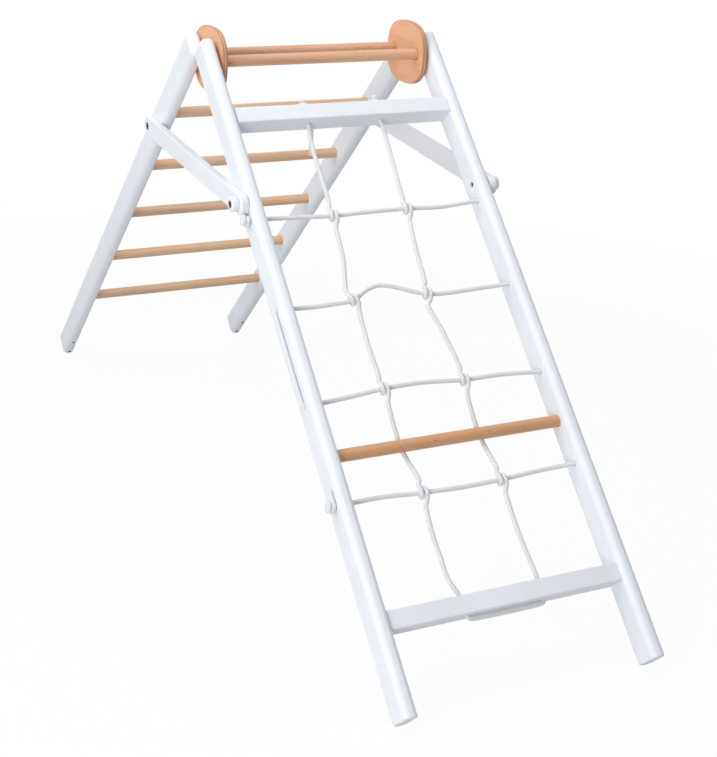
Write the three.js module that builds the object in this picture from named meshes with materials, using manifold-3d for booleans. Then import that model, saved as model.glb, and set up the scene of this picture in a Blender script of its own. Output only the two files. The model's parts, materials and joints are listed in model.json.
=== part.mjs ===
// Folding climbing frame for small children: two ladder frames of white rails and
// beech rungs, hinged at the top through two plywood plates, with a knotted rope net
// in the front frame and a stay at each side. Millimetres, +Z up, the net side at -Y.
import * as THREE from "three";
import { mergeVertices } from "three/addons/utils/BufferGeometryUtils.js";
import Module from "manifold-3d";

const wasm = await Module();
wasm.setup();

// Whole frame
const inner_width = 500;
const bar_height = 1024;
const bar_spacing = 104.5;
const front_leg_length = 1402;
const rear_leg_length = 1430;

// Clearances
const fit_clearance = 0.3;
const running_clearance = 0.4;
const plate_bore_clearance = 0.9;
const rope_clearance = 0.6;
const cut_overrun = 2;

// Rails
const rail_width = 30;
const rail_depth = 64.5;
const rail_head = 40;
const rail_edge_radius = 8;
const rail_end_rounding = 3;
const rail_head_rounding = 7;

// Round bars and rungs
const bar_diameter = 25;
const socket_depth = 18;
const rung_pitch = 225;
const rear_rung_count = 5;
const front_rung_place = 902;

// Crossbars of the net
const upper_crossbar_place = 151.5;
const upper_crossbar_outward = 4;
const upper_crossbar_height = 37;
const upper_crossbar_depth = 46;
const lower_crossbar_place = 1227;
const lower_crossbar_outward = -1;
const lower_crossbar_height = 36.6;
const lower_crossbar_depth = 48;
const crossbar_edge_radius = 3;
const tenon_length = 16;
const tenon_height = 20;
const tenon_depth = 26;
const tenon_edge_radius = 6;

// Hinge plates
const plate_thickness = 12;
const plate_gap = 5.5;
const plate_half_length = 85.4;
const plate_half_height = 70;
const plate_drop = 2.8;
const plate_roundness = 2.65;
const plate_edge_rounding = 2.5;

// Stays
const stay_thickness = 16;
const stay_width = 42;
const stay_edge_rounding = 2;
const stay_end_overhang = 8;
const stay_pivot_place = 275;
const stay_bolt_place = 347;
const stay_bolt_offset = 4;
const mouth_clearance = 1;

// Bolts and knobs
const shank_diameter = 8;
const pivot_head_diameter = 18;
const pivot_head_height = 5;
const pivot_counterbore_depth = 6.3;
const pivot_bolt_reach = 22;
const front_head_diameter = 11.4;
const front_head_height = 4.5;
const front_counterbore_depth = 8;
const key_width = 5;
const key_depth = 2.5;
const knob_diameter = 32;
const knob_length = 14.4;
const knob_rounding = 4;
const knob_recess_diameter = 16.5;
const knob_recess_depth = 4;
const cap_height = 2.8;
const cap_key_depth = 1.5;

// Blind holes at the rear feet
const foot_hole_diameter = 8;
const foot_hole_depth = 12;
const foot_hole_heights = [11, 72];

// Net
const rope_diameter = 8;
const rope_hole_diameter = 11;
const first_row_place = 387.5;
const row_pitch = 203.3;
const row_outward = 5;
const crossbar_hole_offset = 85;
const rope_bend_radius = 6;
const lower_loop_slack = 4.8;
const lower_loop_radius = 12;
const knot_half_pitch = 5.4;
const knot_lead = 26;
const knot_side_lead = 13;
const knot_arm = 12;
const stopper_stub = 10;
const stopper_rise = 10;
const stopper_top = 15;
const stopper_turn = THREE.MathUtils.degToRad(400);
const row_tail_length = 24;
const tail_bend_radius = 14;

// Each row of the net: the points of the rope between the rails, as the place across
// and the distance below the row's own hole. The second and second last are crossings.
const row_routes = [
  { left: [[-188, -0.5]], crossings: [[-95, 3.2], [77.6, 1.5]], middle: [[-7, 1.5]], right: [[158, 4.5]] },
  {
    left: [[-194, -0.8], [-150, -2.3]],
    crossings: [[-110.6, -6.8], [57, -1.8]],
    middle: [[-76, -23.8], [-46, -31.8], [-18, -27.3], [12.5, -15.8]],
    right: [[105, 2.2], [160, 0.2]],
  },
  { left: [[-179, -6.6]], crossings: [[-105.5, -13.1], [73, -8.1]], middle: [[-23, -15.1]], right: [[159, -8.1]] },
  { left: [[-182, -2.4]], crossings: [[-94, 2.6], [80, 4.2]], middle: [[-12, 5.6]], right: [[172, -0.4]] },
];

// The upright rope between the crossbars' holes and the first and last crossings, and
// between one crossing and the next, as the place across, the place down the leg and,
// where the rope passes behind the rung, the place outwards.
const upright_routes = [
  [
    [[-88, 199], [-91, 232], [-92, 275], [-92, 311], [-93, 348]],
    [[-102, 490]],
    [[-108, 682]],
    [[-99, 902, -17.1]],
    [[-101, 1095], [-99.5, 1131], [-100, 1150], [-99, 1168], [-93, 1188]],
  ],
  [
    [[88, 196], [85, 245], [81.5, 296], [78, 345]],
    [[67, 490]],
    [[65, 682]],
    [[77, 902, -17.1]],
    [[79, 1127], [82, 1165], [84, 1190]],
  ],
];

// The free ends of the upright rope: the way each leaves its knot, and how far it hangs
const left_tail = { leaving_angle: THREE.MathUtils.degToRad(37), drop: 84 };
const right_tail = { leaving_angle: THREE.MathUtils.degToRad(27), drop: 30 };

// Numbers of facets and of steps
const round_sides = 24;
const small_round_sides = 16;
const rope_sides = 8;
const corner_steps = 3;
const rounding_steps = 2;
const head_rounding_steps = 4;
const plate_outline_steps = 44;
const stay_end_steps = 10;
const bend_steps = 4;
const stopper_steps = 18;
const fold_steps = 6;
const turn_steps = 12;
const lead_steps = 4;
const tail_steps = 5;
const span_step = 45;
const gap_samples = 3000;
const fold_step = THREE.MathUtils.degToRad(0.1);

// Sizes that follow from the ones above
const inner_face = inner_width / 2;
const rail_centre = inner_face + rail_width / 2;
const outer_face = inner_face + rail_width;
const stay_inner_face = outer_face + fit_clearance;
const stay_outer_face = stay_inner_face + stay_thickness;
const knob_inner_face = stay_outer_face + fit_clearance;
const knob_outer_face = knob_inner_face + knob_length;
const socket_diameter = bar_diameter + 2 * fit_clearance;
const plate_bore_diameter = bar_diameter + 2 * plate_bore_clearance;
const shank_hole_diameter = shank_diameter + 2 * fit_clearance;
const cap_diameter = knob_recess_diameter - 2 * fit_clearance;
const pivot_counterbore_diameter = pivot_head_diameter + 2 * fit_clearance;
const front_counterbore_diameter = front_head_diameter + 2 * fit_clearance;
const rope_radius = rope_diameter / 2;
const wrap_radius = rope_diameter + rope_clearance;
const rope_seat = rope_radius + rope_clearance;

// The angle from the vertical at which a leg of this length stands with its inner foot
// edge on the floor, the edge being rounded.
function leg_lean(length) {
  const along = length - rail_end_rounding;
  const across = rail_depth / 2 - rail_end_rounding;
  const height = bar_height - rail_end_rounding;
  return Math.atan2(across, along) + Math.acos(height / Math.hypot(along, across));
}

const front_lean = leg_lean(front_leg_length);
const rear_lean = leg_lean(rear_leg_length);

// Materials
function finish(color, roughness, metalness) {
  return new THREE.MeshStandardMaterial({ color, roughness, metalness });
}

const white_lacquer = () => finish(0xf3f5fa, 0.42, 0);
const beech = () => finish(0xe3b58a, 0.55, 0);
const plywood = () => finish(0xeccb9b, 0.6, 0);
const cotton_rope = () => finish(0xf0f0ee, 0.9, 0);
const dark_steel = () => finish(0x2a2b2e, 0.4, 0.85);
const white_plastic = () => finish(0xf2f3f6, 0.5, 0);

// Solids
function to_manifold(geometry) {
  const bare = geometry.clone();
  bare.deleteAttribute("normal");
  bare.deleteAttribute("uv");
  const merged = mergeVertices(bare);
  const vertProperties = new Float32Array(merged.attributes.position.array);
  const triVerts = new Uint32Array(merged.index.array);
  return new wasm.Manifold(new wasm.Mesh({ numProp: 3, vertProperties, triVerts }));
}

function to_geometry(solid) {
  const mesh = solid.getMesh();
  const geometry = new THREE.BufferGeometry();
  geometry.setAttribute("position", new THREE.BufferAttribute(new Float32Array(mesh.vertProperties), 3));
  geometry.setIndex(new THREE.BufferAttribute(new Uint32Array(mesh.triVerts), 1));
  return geometry;
}

function cut(geometry, cutters) {
  let solid = to_manifold(geometry);
  for (const cutter of cutters) {
    solid = solid.subtract(to_manifold(cutter));
  }
  return to_geometry(solid);
}

function join(geometry, additions) {
  let solid = to_manifold(geometry);
  for (const addition of additions) {
    solid = solid.add(to_manifold(addition));
  }
  return to_geometry(solid);
}

function piece(name, geometry, material) {
  const mesh = new THREE.Mesh(geometry, material);
  mesh.name = name;
  return mesh;
}

// A cylinder along X from one place to another
function rod_x(diameter, start, end, sides = round_sides) {
  const rod = new THREE.CylinderGeometry(diameter / 2, diameter / 2, Math.abs(end - start), sides);
  return rod.rotateZ(Math.PI / 2).translate((start + end) / 2, 0, 0);
}

// A cylinder along Y or Z, centred on a middle place
function rod_y(diameter, length, sides = small_round_sides) {
  return new THREE.CylinderGeometry(diameter / 2, diameter / 2, length, sides);
}

function rod_z(diameter, length, sides = small_round_sides) {
  return rod_y(diameter, length, sides).rotateX(Math.PI / 2);
}

function rounded_rectangle(width, height, radius) {
  const half_width = width / 2;
  const half_height = height / 2;
  const quarter = Math.PI / 2;
  const shape = new THREE.Shape();
  shape.moveTo(half_width - radius, -half_height);
  shape.absarc(half_width - radius, radius - half_height, radius, -quarter, 0);
  shape.absarc(half_width - radius, half_height - radius, radius, 0, quarter);
  shape.absarc(radius - half_width, half_height - radius, radius, quarter, 2 * quarter);
  shape.absarc(radius - half_width, radius - half_height, radius, 2 * quarter, 3 * quarter);
  return shape;
}

// An outline drawn in X and Y, given its length along Z with rounded end edges
function extrude(shape, length, rounding, steps = corner_steps, end_steps = rounding_steps) {
  const geometry = new THREE.ExtrudeGeometry(shape, {
    depth: length - 2 * rounding,
    curveSegments: steps,
    bevelEnabled: rounding > 0,
    bevelThickness: rounding,
    bevelSize: rounding,
    bevelOffset: -rounding,
    bevelSegments: end_steps,
  });
  return geometry.translate(0, 0, rounding);
}

// The same for an outline that stands in Y and Z, with its length along X
function extrude_x(shape, start, end, rounding, steps = corner_steps) {
  const turn = new THREE.Matrix4().set(0, 0, 1, 0, 1, 0, 0, 0, 0, 1, 0, 0, 0, 0, 0, 1);
  const geometry = extrude(shape, Math.abs(end - start), rounding, steps).applyMatrix4(turn);
  return geometry.translate(Math.min(start, end), 0, 0);
}

// Rails
function rail(name, side, length, cutters) {
  const section = rounded_rectangle(rail_width, rail_depth, rail_edge_radius);
  const shaft_start = rail_head_rounding - rail_head;
  const shaft = extrude(section, length - shaft_start, rail_end_rounding).translate(0, 0, shaft_start);
  const head = extrude(section, rail_head, rail_head_rounding, corner_steps, head_rounding_steps);
  const body = join(shaft, [head.translate(0, 0, -rail_head)]);
  const mesh = piece(name, cut(body, cutters), white_lacquer());
  mesh.position.x = side * rail_centre;
  return mesh;
}

function socket(side, place) {
  const mouth = -side * (rail_width / 2 + cut_overrun);
  const floor = -side * (rail_width / 2 - socket_depth);
  return rod_x(socket_diameter, mouth, floor).translate(0, 0, place);
}

function mortise(side, place, outward) {
  const section = rounded_rectangle(
    tenon_depth + 2 * fit_clearance,
    tenon_height + 2 * fit_clearance,
    tenon_edge_radius + fit_clearance,
  );
  const mouth = -side * (rail_width / 2 + cut_overrun);
  const floor = -side * (rail_width / 2 - tenon_length - fit_clearance);
  return extrude_x(section, mouth, floor, 0).translate(0, outward, place);
}

function rope_hole(place) {
  const reach = rail_width / 2 + cut_overrun;
  return rod_x(rope_hole_diameter, -reach, reach, small_round_sides).translate(0, row_outward, place);
}

function row_place(row) {
  return first_row_place + row * row_pitch;
}

function front_rail(name, side) {
  const reach = rail_width / 2 + cut_overrun;
  const counterbore_floor = -side * (rail_width / 2 - front_counterbore_depth);
  const cutters = [
    socket(side, 0),
    socket(side, front_rung_place),
    mortise(side, upper_crossbar_place, upper_crossbar_outward),
    mortise(side, lower_crossbar_place, lower_crossbar_outward),
    rod_x(shank_hole_diameter, -reach, reach, small_round_sides)
      .translate(0, stay_bolt_offset, stay_bolt_place),
    rod_x(front_counterbore_diameter, -side * reach, counterbore_floor, small_round_sides)
      .translate(0, stay_bolt_offset, stay_bolt_place),
  ];
  for (let row = 0; row < row_routes.length; row += 1) {
    cutters.push(rope_hole(row_place(row)));
  }
  return rail(name, side, front_leg_length, cutters);
}

function rear_rail(name, side) {
  const outside = side * (rail_width / 2 + cut_overrun);
  const bolt_end = side * (rail_width / 2 - pivot_bolt_reach - fit_clearance);
  const cutters = [
    socket(side, 0),
    rod_x(shank_hole_diameter, outside, bolt_end, small_round_sides).translate(0, 0, stay_pivot_place),
  ];
  for (let rung = 1; rung <= rear_rung_count; rung += 1) {
    cutters.push(socket(side, rung * rung_pitch));
  }
  for (const height of foot_hole_heights) {
    const hole = rod_y(foot_hole_diameter, foot_hole_depth + cut_overrun);
    const middle = rail_depth / 2 - (foot_hole_depth - cut_overrun) / 2;
    cutters.push(hole.translate(0, middle, rear_leg_length - height));
  }
  return rail(name, side, rear_leg_length, cutters);
}

// Round bars, seated in the sockets of two rails
function round_bar(name, place) {
  const end = inner_face + socket_depth - fit_clearance;
  const mesh = piece(name, rod_x(bar_diameter, -end, end), beech());
  mesh.position.z = place;
  return mesh;
}

// Crossbars, tenoned into the rails, with the two holes of the upright rope
function crossbar(name, place, outward, height, depth) {
  const shoulder = inner_face - fit_clearance;
  const tenon_end = inner_face + tenon_length;
  const body = extrude_x(rounded_rectangle(depth, height, crossbar_edge_radius), -shoulder, shoulder, 0);
  const tenon_section = rounded_rectangle(tenon_depth, tenon_height, tenon_edge_radius);
  const tenon = extrude_x(tenon_section, -tenon_end, tenon_end, 0);
  const holes = [-crossbar_hole_offset, crossbar_hole_offset].map((across) => {
    return rod_z(rope_hole_diameter, height + 2 * cut_overrun).translate(across, 0, 0);
  });
  const mesh = piece(name, cut(join(body, [tenon]), holes), white_lacquer());
  mesh.position.set(0, outward, place);
  return mesh;
}

// Hinge plates: a softened oblong, bored for both hinge bars
function plate_outline() {
  const power = 2 / plate_roundness;
  const soften = (value) => Math.sign(value) * Math.abs(value) ** power;
  const points = [];
  for (let step = 0; step < plate_outline_steps; step += 1) {
    const angle = (2 * Math.PI * step) / plate_outline_steps;
    const along = plate_half_length * soften(Math.cos(angle));
    const up = plate_half_height * soften(Math.sin(angle)) - plate_drop;
    points.push(new THREE.Vector2(along, up));
  }
  return new THREE.Shape(points);
}

function hinge_plate(name, side) {
  const outer = side * (inner_face - plate_gap);
  const inner = outer - side * plate_thickness;
  const body = extrude_x(plate_outline(), inner, outer, plate_edge_rounding);
  const bores = [-1, 1].map((end) => {
    const bore = rod_x(plate_bore_diameter, inner - side * cut_overrun, outer + side * cut_overrun);
    return bore.translate(0, (end * bar_spacing) / 2, 0);
  });
  return piece(name, cut(body, bores), plywood());
}

// Bolts and knobs are turned about X. An outline runs from the axis to the axis, as
// pairs of radius and place outwards from the middle of the frame.
function turned_x(outline, side, sides) {
  const points = outline.map(([radius, place]) => new THREE.Vector2(radius, place));
  return new THREE.LatheGeometry(points, sides).rotateZ((-side * Math.PI) / 2);
}

function key_hole(side, floor, mouth) {
  return rod_x(key_width, side * floor, side * mouth, 6);
}

// The bolt on which a stay swings: its head lies sunk in the stay, its shank ends in the rail
function pivot_bolt(name, side) {
  const shank_end = outer_face - pivot_bolt_reach;
  const seat = stay_outer_face - pivot_counterbore_depth + fit_clearance;
  const top = seat + pivot_head_height;
  const outline = [
    [0, shank_end],
    [shank_diameter / 2, shank_end],
    [shank_diameter / 2, seat],
    [pivot_head_diameter / 2, seat],
    [pivot_head_diameter / 2, top],
    [0, top],
  ];
  const body = turned_x(outline, side, small_round_sides);
  const mesh = piece(name, cut(body, [key_hole(side, top - key_depth, top + cut_overrun)]), dark_steel());
  mesh.position.z = stay_pivot_place;
  return mesh;
}

// The bolt that the stay hooks on to: its head lies sunk in the inside of the rail, its
// shank passes the rail, the stay's slot and the knob, and its cap lies in the knob's face
function hook_bolt(name, side) {
  const seat = inner_face + front_counterbore_depth - fit_clearance;
  const top = seat - front_head_height;
  const cap_seat = knob_outer_face - knob_recess_depth + fit_clearance;
  const cap_top = cap_seat + cap_height;
  const outline = [
    [0, top],
    [front_head_diameter / 2, top],
    [front_head_diameter / 2, seat],
    [shank_diameter / 2, seat],
    [shank_diameter / 2, cap_seat],
    [cap_diameter / 2, cap_seat],
    [cap_diameter / 2, cap_top],
    [0, cap_top],
  ];
  const body = turned_x(outline, side, small_round_sides);
  const keys = [
    key_hole(side, top - cut_overrun, top + key_depth),
    key_hole(side, cap_top - cap_key_depth, cap_top + cut_overrun),
  ];
  const mesh = piece(name, cut(body, keys), dark_steel());
  mesh.position.set(0, stay_bolt_offset, stay_bolt_place);
  return mesh;
}

function knob(name, side) {
  const radius = knob_diameter / 2;
  const recess_floor = knob_outer_face - knob_recess_depth;
  const outline = [
    [shank_hole_diameter / 2, recess_floor],
    [shank_hole_diameter / 2, knob_inner_face],
    [radius - knob_rounding / 2, knob_inner_face],
    [radius, knob_inner_face + knob_rounding / 2],
  ];
  for (let step = 0; step <= rounding_steps; step += 1) {
    const angle = ((Math.PI / 2) * step) / rounding_steps;
    const across = radius - knob_rounding * (1 - Math.cos(angle));
    const along = knob_outer_face - knob_rounding * (1 - Math.sin(angle));
    outline.push([across, along]);
  }
  outline.push([knob_recess_diameter / 2, knob_outer_face]);
  outline.push([knob_recess_diameter / 2, recess_floor]);
  outline.push(outline[0]);
  const mesh = piece(name, turned_x(outline, side, round_sides), white_plastic());
  mesh.position.set(0, stay_bolt_offset, stay_bolt_place);
  return mesh;
}

// Places in the side view, as vectors of Y and Z with the floor at 0
const rear_hinge = new THREE.Vector2(bar_spacing / 2, bar_height);
const front_hinge = new THREE.Vector2(-bar_spacing / 2, bar_height);

function down_rear_leg(along) {
  const way = new THREE.Vector2(Math.sin(rear_lean), -Math.cos(rear_lean));
  return way.multiplyScalar(along).add(rear_hinge);
}

function down_front_leg(along, outward) {
  const way = new THREE.Vector2(-Math.sin(front_lean), -Math.cos(front_lean)).multiplyScalar(along);
  const out = new THREE.Vector2(-Math.cos(front_lean), Math.sin(front_lean)).multiplyScalar(outward);
  return way.add(out).add(front_hinge);
}

const pivot_place = down_rear_leg(stay_pivot_place);
const bolt_place = down_front_leg(stay_bolt_place, stay_bolt_offset);
const stay_reach = pivot_place.distanceTo(bolt_place);
const stay_slope = pivot_place.clone().sub(bolt_place).angle();

// Where the hook bolt lies on a stay that stays put while the frame folds: the plates
// turn about the rear hinge bar, and the front frame turns on with them about its own.
function bolt_on_stay(plate_turn) {
  const origin = new THREE.Vector2();
  const frame_turn = plate_turn * (1 + front_lean / rear_lean);
  const hinge_arm = front_hinge.clone().sub(rear_hinge).rotateAround(origin, plate_turn);
  const bolt_arm = bolt_place.clone().sub(front_hinge).rotateAround(origin, frame_turn);
  const place = rear_hinge.clone().add(hinge_arm).add(bolt_arm);
  return place.sub(pivot_place).rotateAround(origin, -stay_slope);
}

// The slot is closed round the bolt and opens through the stay's lower edge, from the
// straight way on which the stay lifts to the slanting way of the bolt as the frame folds.
function stay_slot() {
  const radius = shank_diameter / 2 + running_clearance;
  const depth = stay_width / 2 + radius + cut_overrun;
  let turn = fold_step;
  while (bolt_on_stay(turn).y > -depth) {
    turn += fold_step;
  }
  const seat = bolt_on_stay(0);
  const way = bolt_on_stay(turn).sub(seat);
  const heading = way.angle() + Math.PI / 2;
  const mouth = radius + mouth_clearance;
  const shape = new THREE.Shape();
  shape.moveTo(seat.x - mouth, seat.y - depth);
  shape.lineTo(seat.x - radius, seat.y);
  shape.absarc(seat.x, seat.y, radius, Math.PI, heading, true);
  shape.lineTo(seat.x + way.x + mouth * Math.cos(heading), seat.y + way.y + mouth * Math.sin(heading));
  return shape;
}

function stay_outline() {
  const radius = stay_width / 2;
  const front_end = -(stay_reach + stay_end_overhang);
  const shape = new THREE.Shape();
  shape.moveTo(front_end, -radius);
  shape.lineTo(0, -radius);
  shape.absarc(0, 0, radius, -Math.PI / 2, Math.PI / 2);
  shape.lineTo(front_end, radius);
  shape.absarc(front_end, 0, radius, Math.PI / 2, (3 * Math.PI) / 2);
  return shape;
}

function stay(name, side) {
  const inner = side * stay_inner_face;
  const outer = side * stay_outer_face;
  const overrun = side * cut_overrun;
  const body = extrude_x(stay_outline(), inner, outer, stay_edge_rounding, stay_end_steps);
  const counterbore_floor = outer - side * pivot_counterbore_depth;
  const cutters = [
    rod_x(shank_diameter + 2 * running_clearance, inner - overrun, outer + overrun, small_round_sides),
    rod_x(pivot_counterbore_diameter, counterbore_floor, outer + overrun, small_round_sides),
    extrude_x(stay_slot(), inner - overrun, outer + overrun, 0, stay_end_steps),
  ];
  return piece(name, cut(body, cutters), white_lacquer());
}

// Rope: a tube of even facets along a list of points, closed at both ends
function rope_tube(points) {
  const positions = [];
  const faces = [];
  const last = points.length - 1;
  const normal = new THREE.Vector3();
  const tangent = new THREE.Vector3();
  const side = new THREE.Vector3();
  points.forEach((point, index) => {
    tangent.subVectors(points[Math.min(index + 1, last)], points[Math.max(index - 1, 0)]).normalize();
    if (index === 0) {
      normal.set(tangent.y, tangent.z, tangent.x).cross(tangent);
    }
    normal.addScaledVector(tangent, -normal.dot(tangent)).normalize();
    side.crossVectors(tangent, normal);
    for (let corner = 0; corner < rope_sides; corner += 1) {
      const angle = (2 * Math.PI * corner) / rope_sides;
      const rim = point.clone();
      rim.addScaledVector(normal, rope_radius * Math.cos(angle));
      rim.addScaledVector(side, rope_radius * Math.sin(angle));
      positions.push(rim.x, rim.y, rim.z);
    }
  });
  for (let ring = 0; ring < last; ring += 1) {
    for (let corner = 0; corner < rope_sides; corner += 1) {
      const here = ring * rope_sides + corner;
      const beside = ring * rope_sides + ((corner + 1) % rope_sides);
      faces.push(here, beside, here + rope_sides, beside, beside + rope_sides, here + rope_sides);
    }
  }
  for (let corner = 2; corner < rope_sides; corner += 1) {
    const end = last * rope_sides;
    faces.push(0, corner, corner - 1, end, end + corner - 1, end + corner);
  }
  const geometry = new THREE.BufferGeometry();
  geometry.setAttribute("position", new THREE.Float32BufferAttribute(positions, 3));
  geometry.setIndex(faces);
  return geometry;
}

// A smooth curve through all the points, with more points where two lie far apart
function smooth(points) {
  const curve = new THREE.CatmullRomCurve3(points, false, "centripetal");
  const spans = points.length - 1;
  const result = [];
  for (let span = 0; span < spans; span += 1) {
    const steps = Math.ceil(points[span].distanceTo(points[span + 1]) / span_step);
    for (let step = 0; step < steps; step += 1) {
      result.push(curve.getPoint((span + step / steps) / spans));
    }
  }
  result.push(points[spans].clone());
  return result;
}

// The front frame's own places: across, outwards from the legs' plane, and down the leg
function on_front(across, down, outward = 0) {
  return new THREE.Vector3(across, outward, down);
}

// A quarter bend from one straight way into another at right angles to it
function bend(corner, way_in, way_out, radius) {
  const points = [];
  for (let step = 0; step <= bend_steps; step += 1) {
    const angle = ((Math.PI / 2) * step) / bend_steps;
    const point = corner.clone();
    point.addScaledVector(way_in, -radius * (1 - Math.sin(angle)));
    point.addScaledVector(way_out, radius * (1 - Math.cos(angle)));
    points.push(point);
  }
  return points;
}

// A stopper knot: the rope stands up from its hole, folds over and winds down about
// itself, and leaves along the surface in the given way.
function stopper(hole, axis, leaving) {
  const outward = leaving.clone().cross(axis);
  const start = outward.clone().applyAxisAngle(axis, -stopper_turn);
  const along = new THREE.Vector3().crossVectors(axis, start);
  const place = (radial, radius, height) => {
    return hole.clone().addScaledVector(radial, radius).addScaledVector(axis, height);
  };
  const fold = new THREE.CubicBezierCurve3(
    place(start, 0, stopper_stub),
    place(start, 0, stopper_stub + stopper_rise),
    place(start, wrap_radius, stopper_top + stopper_rise / 4).addScaledVector(along, -wrap_radius),
    place(start, wrap_radius, stopper_top),
  );
  const points = fold.getPoints(fold_steps);
  for (let step = 1; step <= stopper_steps; step += 1) {
    const share = step / stopper_steps;
    const radial = start.clone().applyAxisAngle(axis, stopper_turn * share);
    points.push(place(radial, wrap_radius, THREE.MathUtils.lerp(stopper_top, rope_seat, share)));
  }
  const end = points[points.length - 1];
  points.push(end.clone().addScaledVector(leaving, rope_radius));
  return points;
}

// The crossings of the net: where the upright rope makes one round turn about the row
function crossing(row, side) {
  const { left, crossings, middle, right } = row_routes[row];
  const [across, drop] = crossings[side];
  const before = side === 0 ? left[left.length - 1] : middle[middle.length - 1];
  const after = side === 0 ? middle[0] : right[0];
  const tilt = Math.atan2(after[1] - before[1], after[0] - before[0]);
  return { centre: on_front(across, row_place(row) + drop), tilt };
}

// The points of the upright rope at a crossing, from above it to below it
function round_turn(row, side) {
  const { centre, tilt } = crossing(row, side);
  const ease = THREE.MathUtils.smoothstep;
  const lead = [];
  for (let step = 0; step < lead_steps; step += 1) {
    const down = -knot_lead * (1 - step / lead_steps);
    const outward = wrap_radius * ease(down, -knot_lead, 0);
    lead.push(on_front(-knot_half_pitch * ease(down, -knot_lead, -knot_side_lead), down, outward));
  }
  const turn = [];
  for (let step = 0; step <= turn_steps; step += 1) {
    const share = step / turn_steps;
    const angle = 2 * Math.PI * share;
    const across = THREE.MathUtils.lerp(-knot_half_pitch, knot_half_pitch, share);
    turn.push(on_front(across, wrap_radius * Math.sin(angle), wrap_radius * Math.cos(angle)));
  }
  const tail = lead.map((point) => on_front(-point.x, -point.z, point.y)).reverse();
  const upright = new THREE.Vector3(0, 1, 0);
  return [...lead, ...turn, ...tail].map((point) => point.applyAxisAngle(upright, -tilt).add(centre));
}

// A row of the net from the left hole to the right hole
function row_points(row) {
  const { left, middle, right } = row_routes[row];
  const place = row_place(row);
  const free = ([across, drop]) => on_front(across, place + drop);
  const knot = (side) => {
    const { centre, tilt } = crossing(row, side);
    const arm = on_front(knot_arm * Math.cos(tilt), knot_arm * Math.sin(tilt));
    return [centre.clone().sub(arm), centre, centre.clone().add(arm)];
  };
  return [
    on_front(-rail_centre, place, row_outward),
    on_front(-inner_face, place, row_outward),
    ...left.map(free),
    ...knot(0),
    ...middle.map(free),
    ...knot(1),
    ...right.map(free),
    on_front(inner_face, place, row_outward),
    on_front(rail_centre, place, row_outward),
  ];
}

// The rope's way along the outside of a rail, from one row's hole to the next
function outer_run(side, row) {
  const out = on_front(side, 0);
  const down = on_front(0, 1);
  const line = side * (outer_face + rope_seat);
  return [
    ...bend(on_front(line, row_place(row), row_outward), out, down, rope_bend_radius),
    ...bend(on_front(line, row_place(row + 1), row_outward), down, out.clone().negate(), rope_bend_radius),
  ];
}

// The rope across: knotted on the left rail, to and fro through both rails, and knotted
// on the left rail again, where its end lies up along the rail.
function rope_across_points() {
  const axis = on_front(-1, 0);
  const up = on_front(0, -1);
  const last_row = row_routes.length - 1;
  const first_knot = stopper(on_front(-outer_face, row_place(0), row_outward), axis, up);
  const last_knot = stopper(on_front(-outer_face, row_place(last_row), row_outward), axis, up);
  const points = [...first_knot.reverse()];
  for (let row = 0; row <= last_row; row += 1) {
    const forward = row % 2 === 0;
    const run = row_points(row);
    points.push(...(forward ? run : run.reverse()));
    if (row < last_row) {
      points.push(...outer_run(forward ? 1 : -1, row));
    }
  }
  const end = last_knot[last_knot.length - 1].clone().addScaledVector(up, row_tail_length);
  return smooth([...points, ...last_knot, end]);
}

// One side of the upright rope, from the top of the upper crossbar's hole down to the
// bottom of the lower crossbar's
function upright_points(side) {
  const across = (side === 0 ? -1 : 1) * crossbar_hole_offset;
  const upper_half = upper_crossbar_height / 2;
  const lower_half = lower_crossbar_height / 2;
  const points = [
    on_front(across, upper_crossbar_place - upper_half, upper_crossbar_outward),
    on_front(across, upper_crossbar_place + upper_half, upper_crossbar_outward),
  ];
  upright_routes[side].forEach((route, row) => {
    points.push(...route.map(([place, down, outward]) => on_front(place, down, outward)));
    if (row < row_routes.length) {
      points.push(...round_turn(row, side));
    }
  });
  points.push(on_front(across, lower_crossbar_place - lower_half, lower_crossbar_outward));
  return points;
}

function upright_stopper(side, tail) {
  const across = (side === 0 ? -1 : 1) * crossbar_hole_offset;
  const hole = on_front(across, upper_crossbar_place - upper_crossbar_height / 2, upper_crossbar_outward);
  return stopper(hole, on_front(0, -1), leaving_way(tail));
}

function leaving_way({ leaving_angle }) {
  return new THREE.Vector3(Math.sin(leaving_angle), -Math.cos(leaving_angle), 0);
}

// The upright rope: knotted on the upper crossbar, down the left, under the lower
// crossbar, up the right, and knotted on the upper crossbar again
function rope_upright_points() {
  const down = on_front(0, 1);
  const right = on_front(1, 0);
  const lower_face = lower_crossbar_place + lower_crossbar_height / 2;
  const loop_line = lower_face + rope_seat + lower_loop_slack;
  const left_corner = on_front(-crossbar_hole_offset, loop_line, lower_crossbar_outward);
  const right_corner = on_front(crossbar_hole_offset, loop_line, lower_crossbar_outward);
  return smooth([
    ...upright_stopper(0, left_tail).reverse(),
    ...upright_points(0),
    ...bend(left_corner, down, right, lower_loop_radius),
    ...bend(right_corner, right, down.clone().negate(), lower_loop_radius),
    ...upright_points(1).reverse(),
    ...upright_stopper(1, right_tail),
  ]);
}

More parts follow.
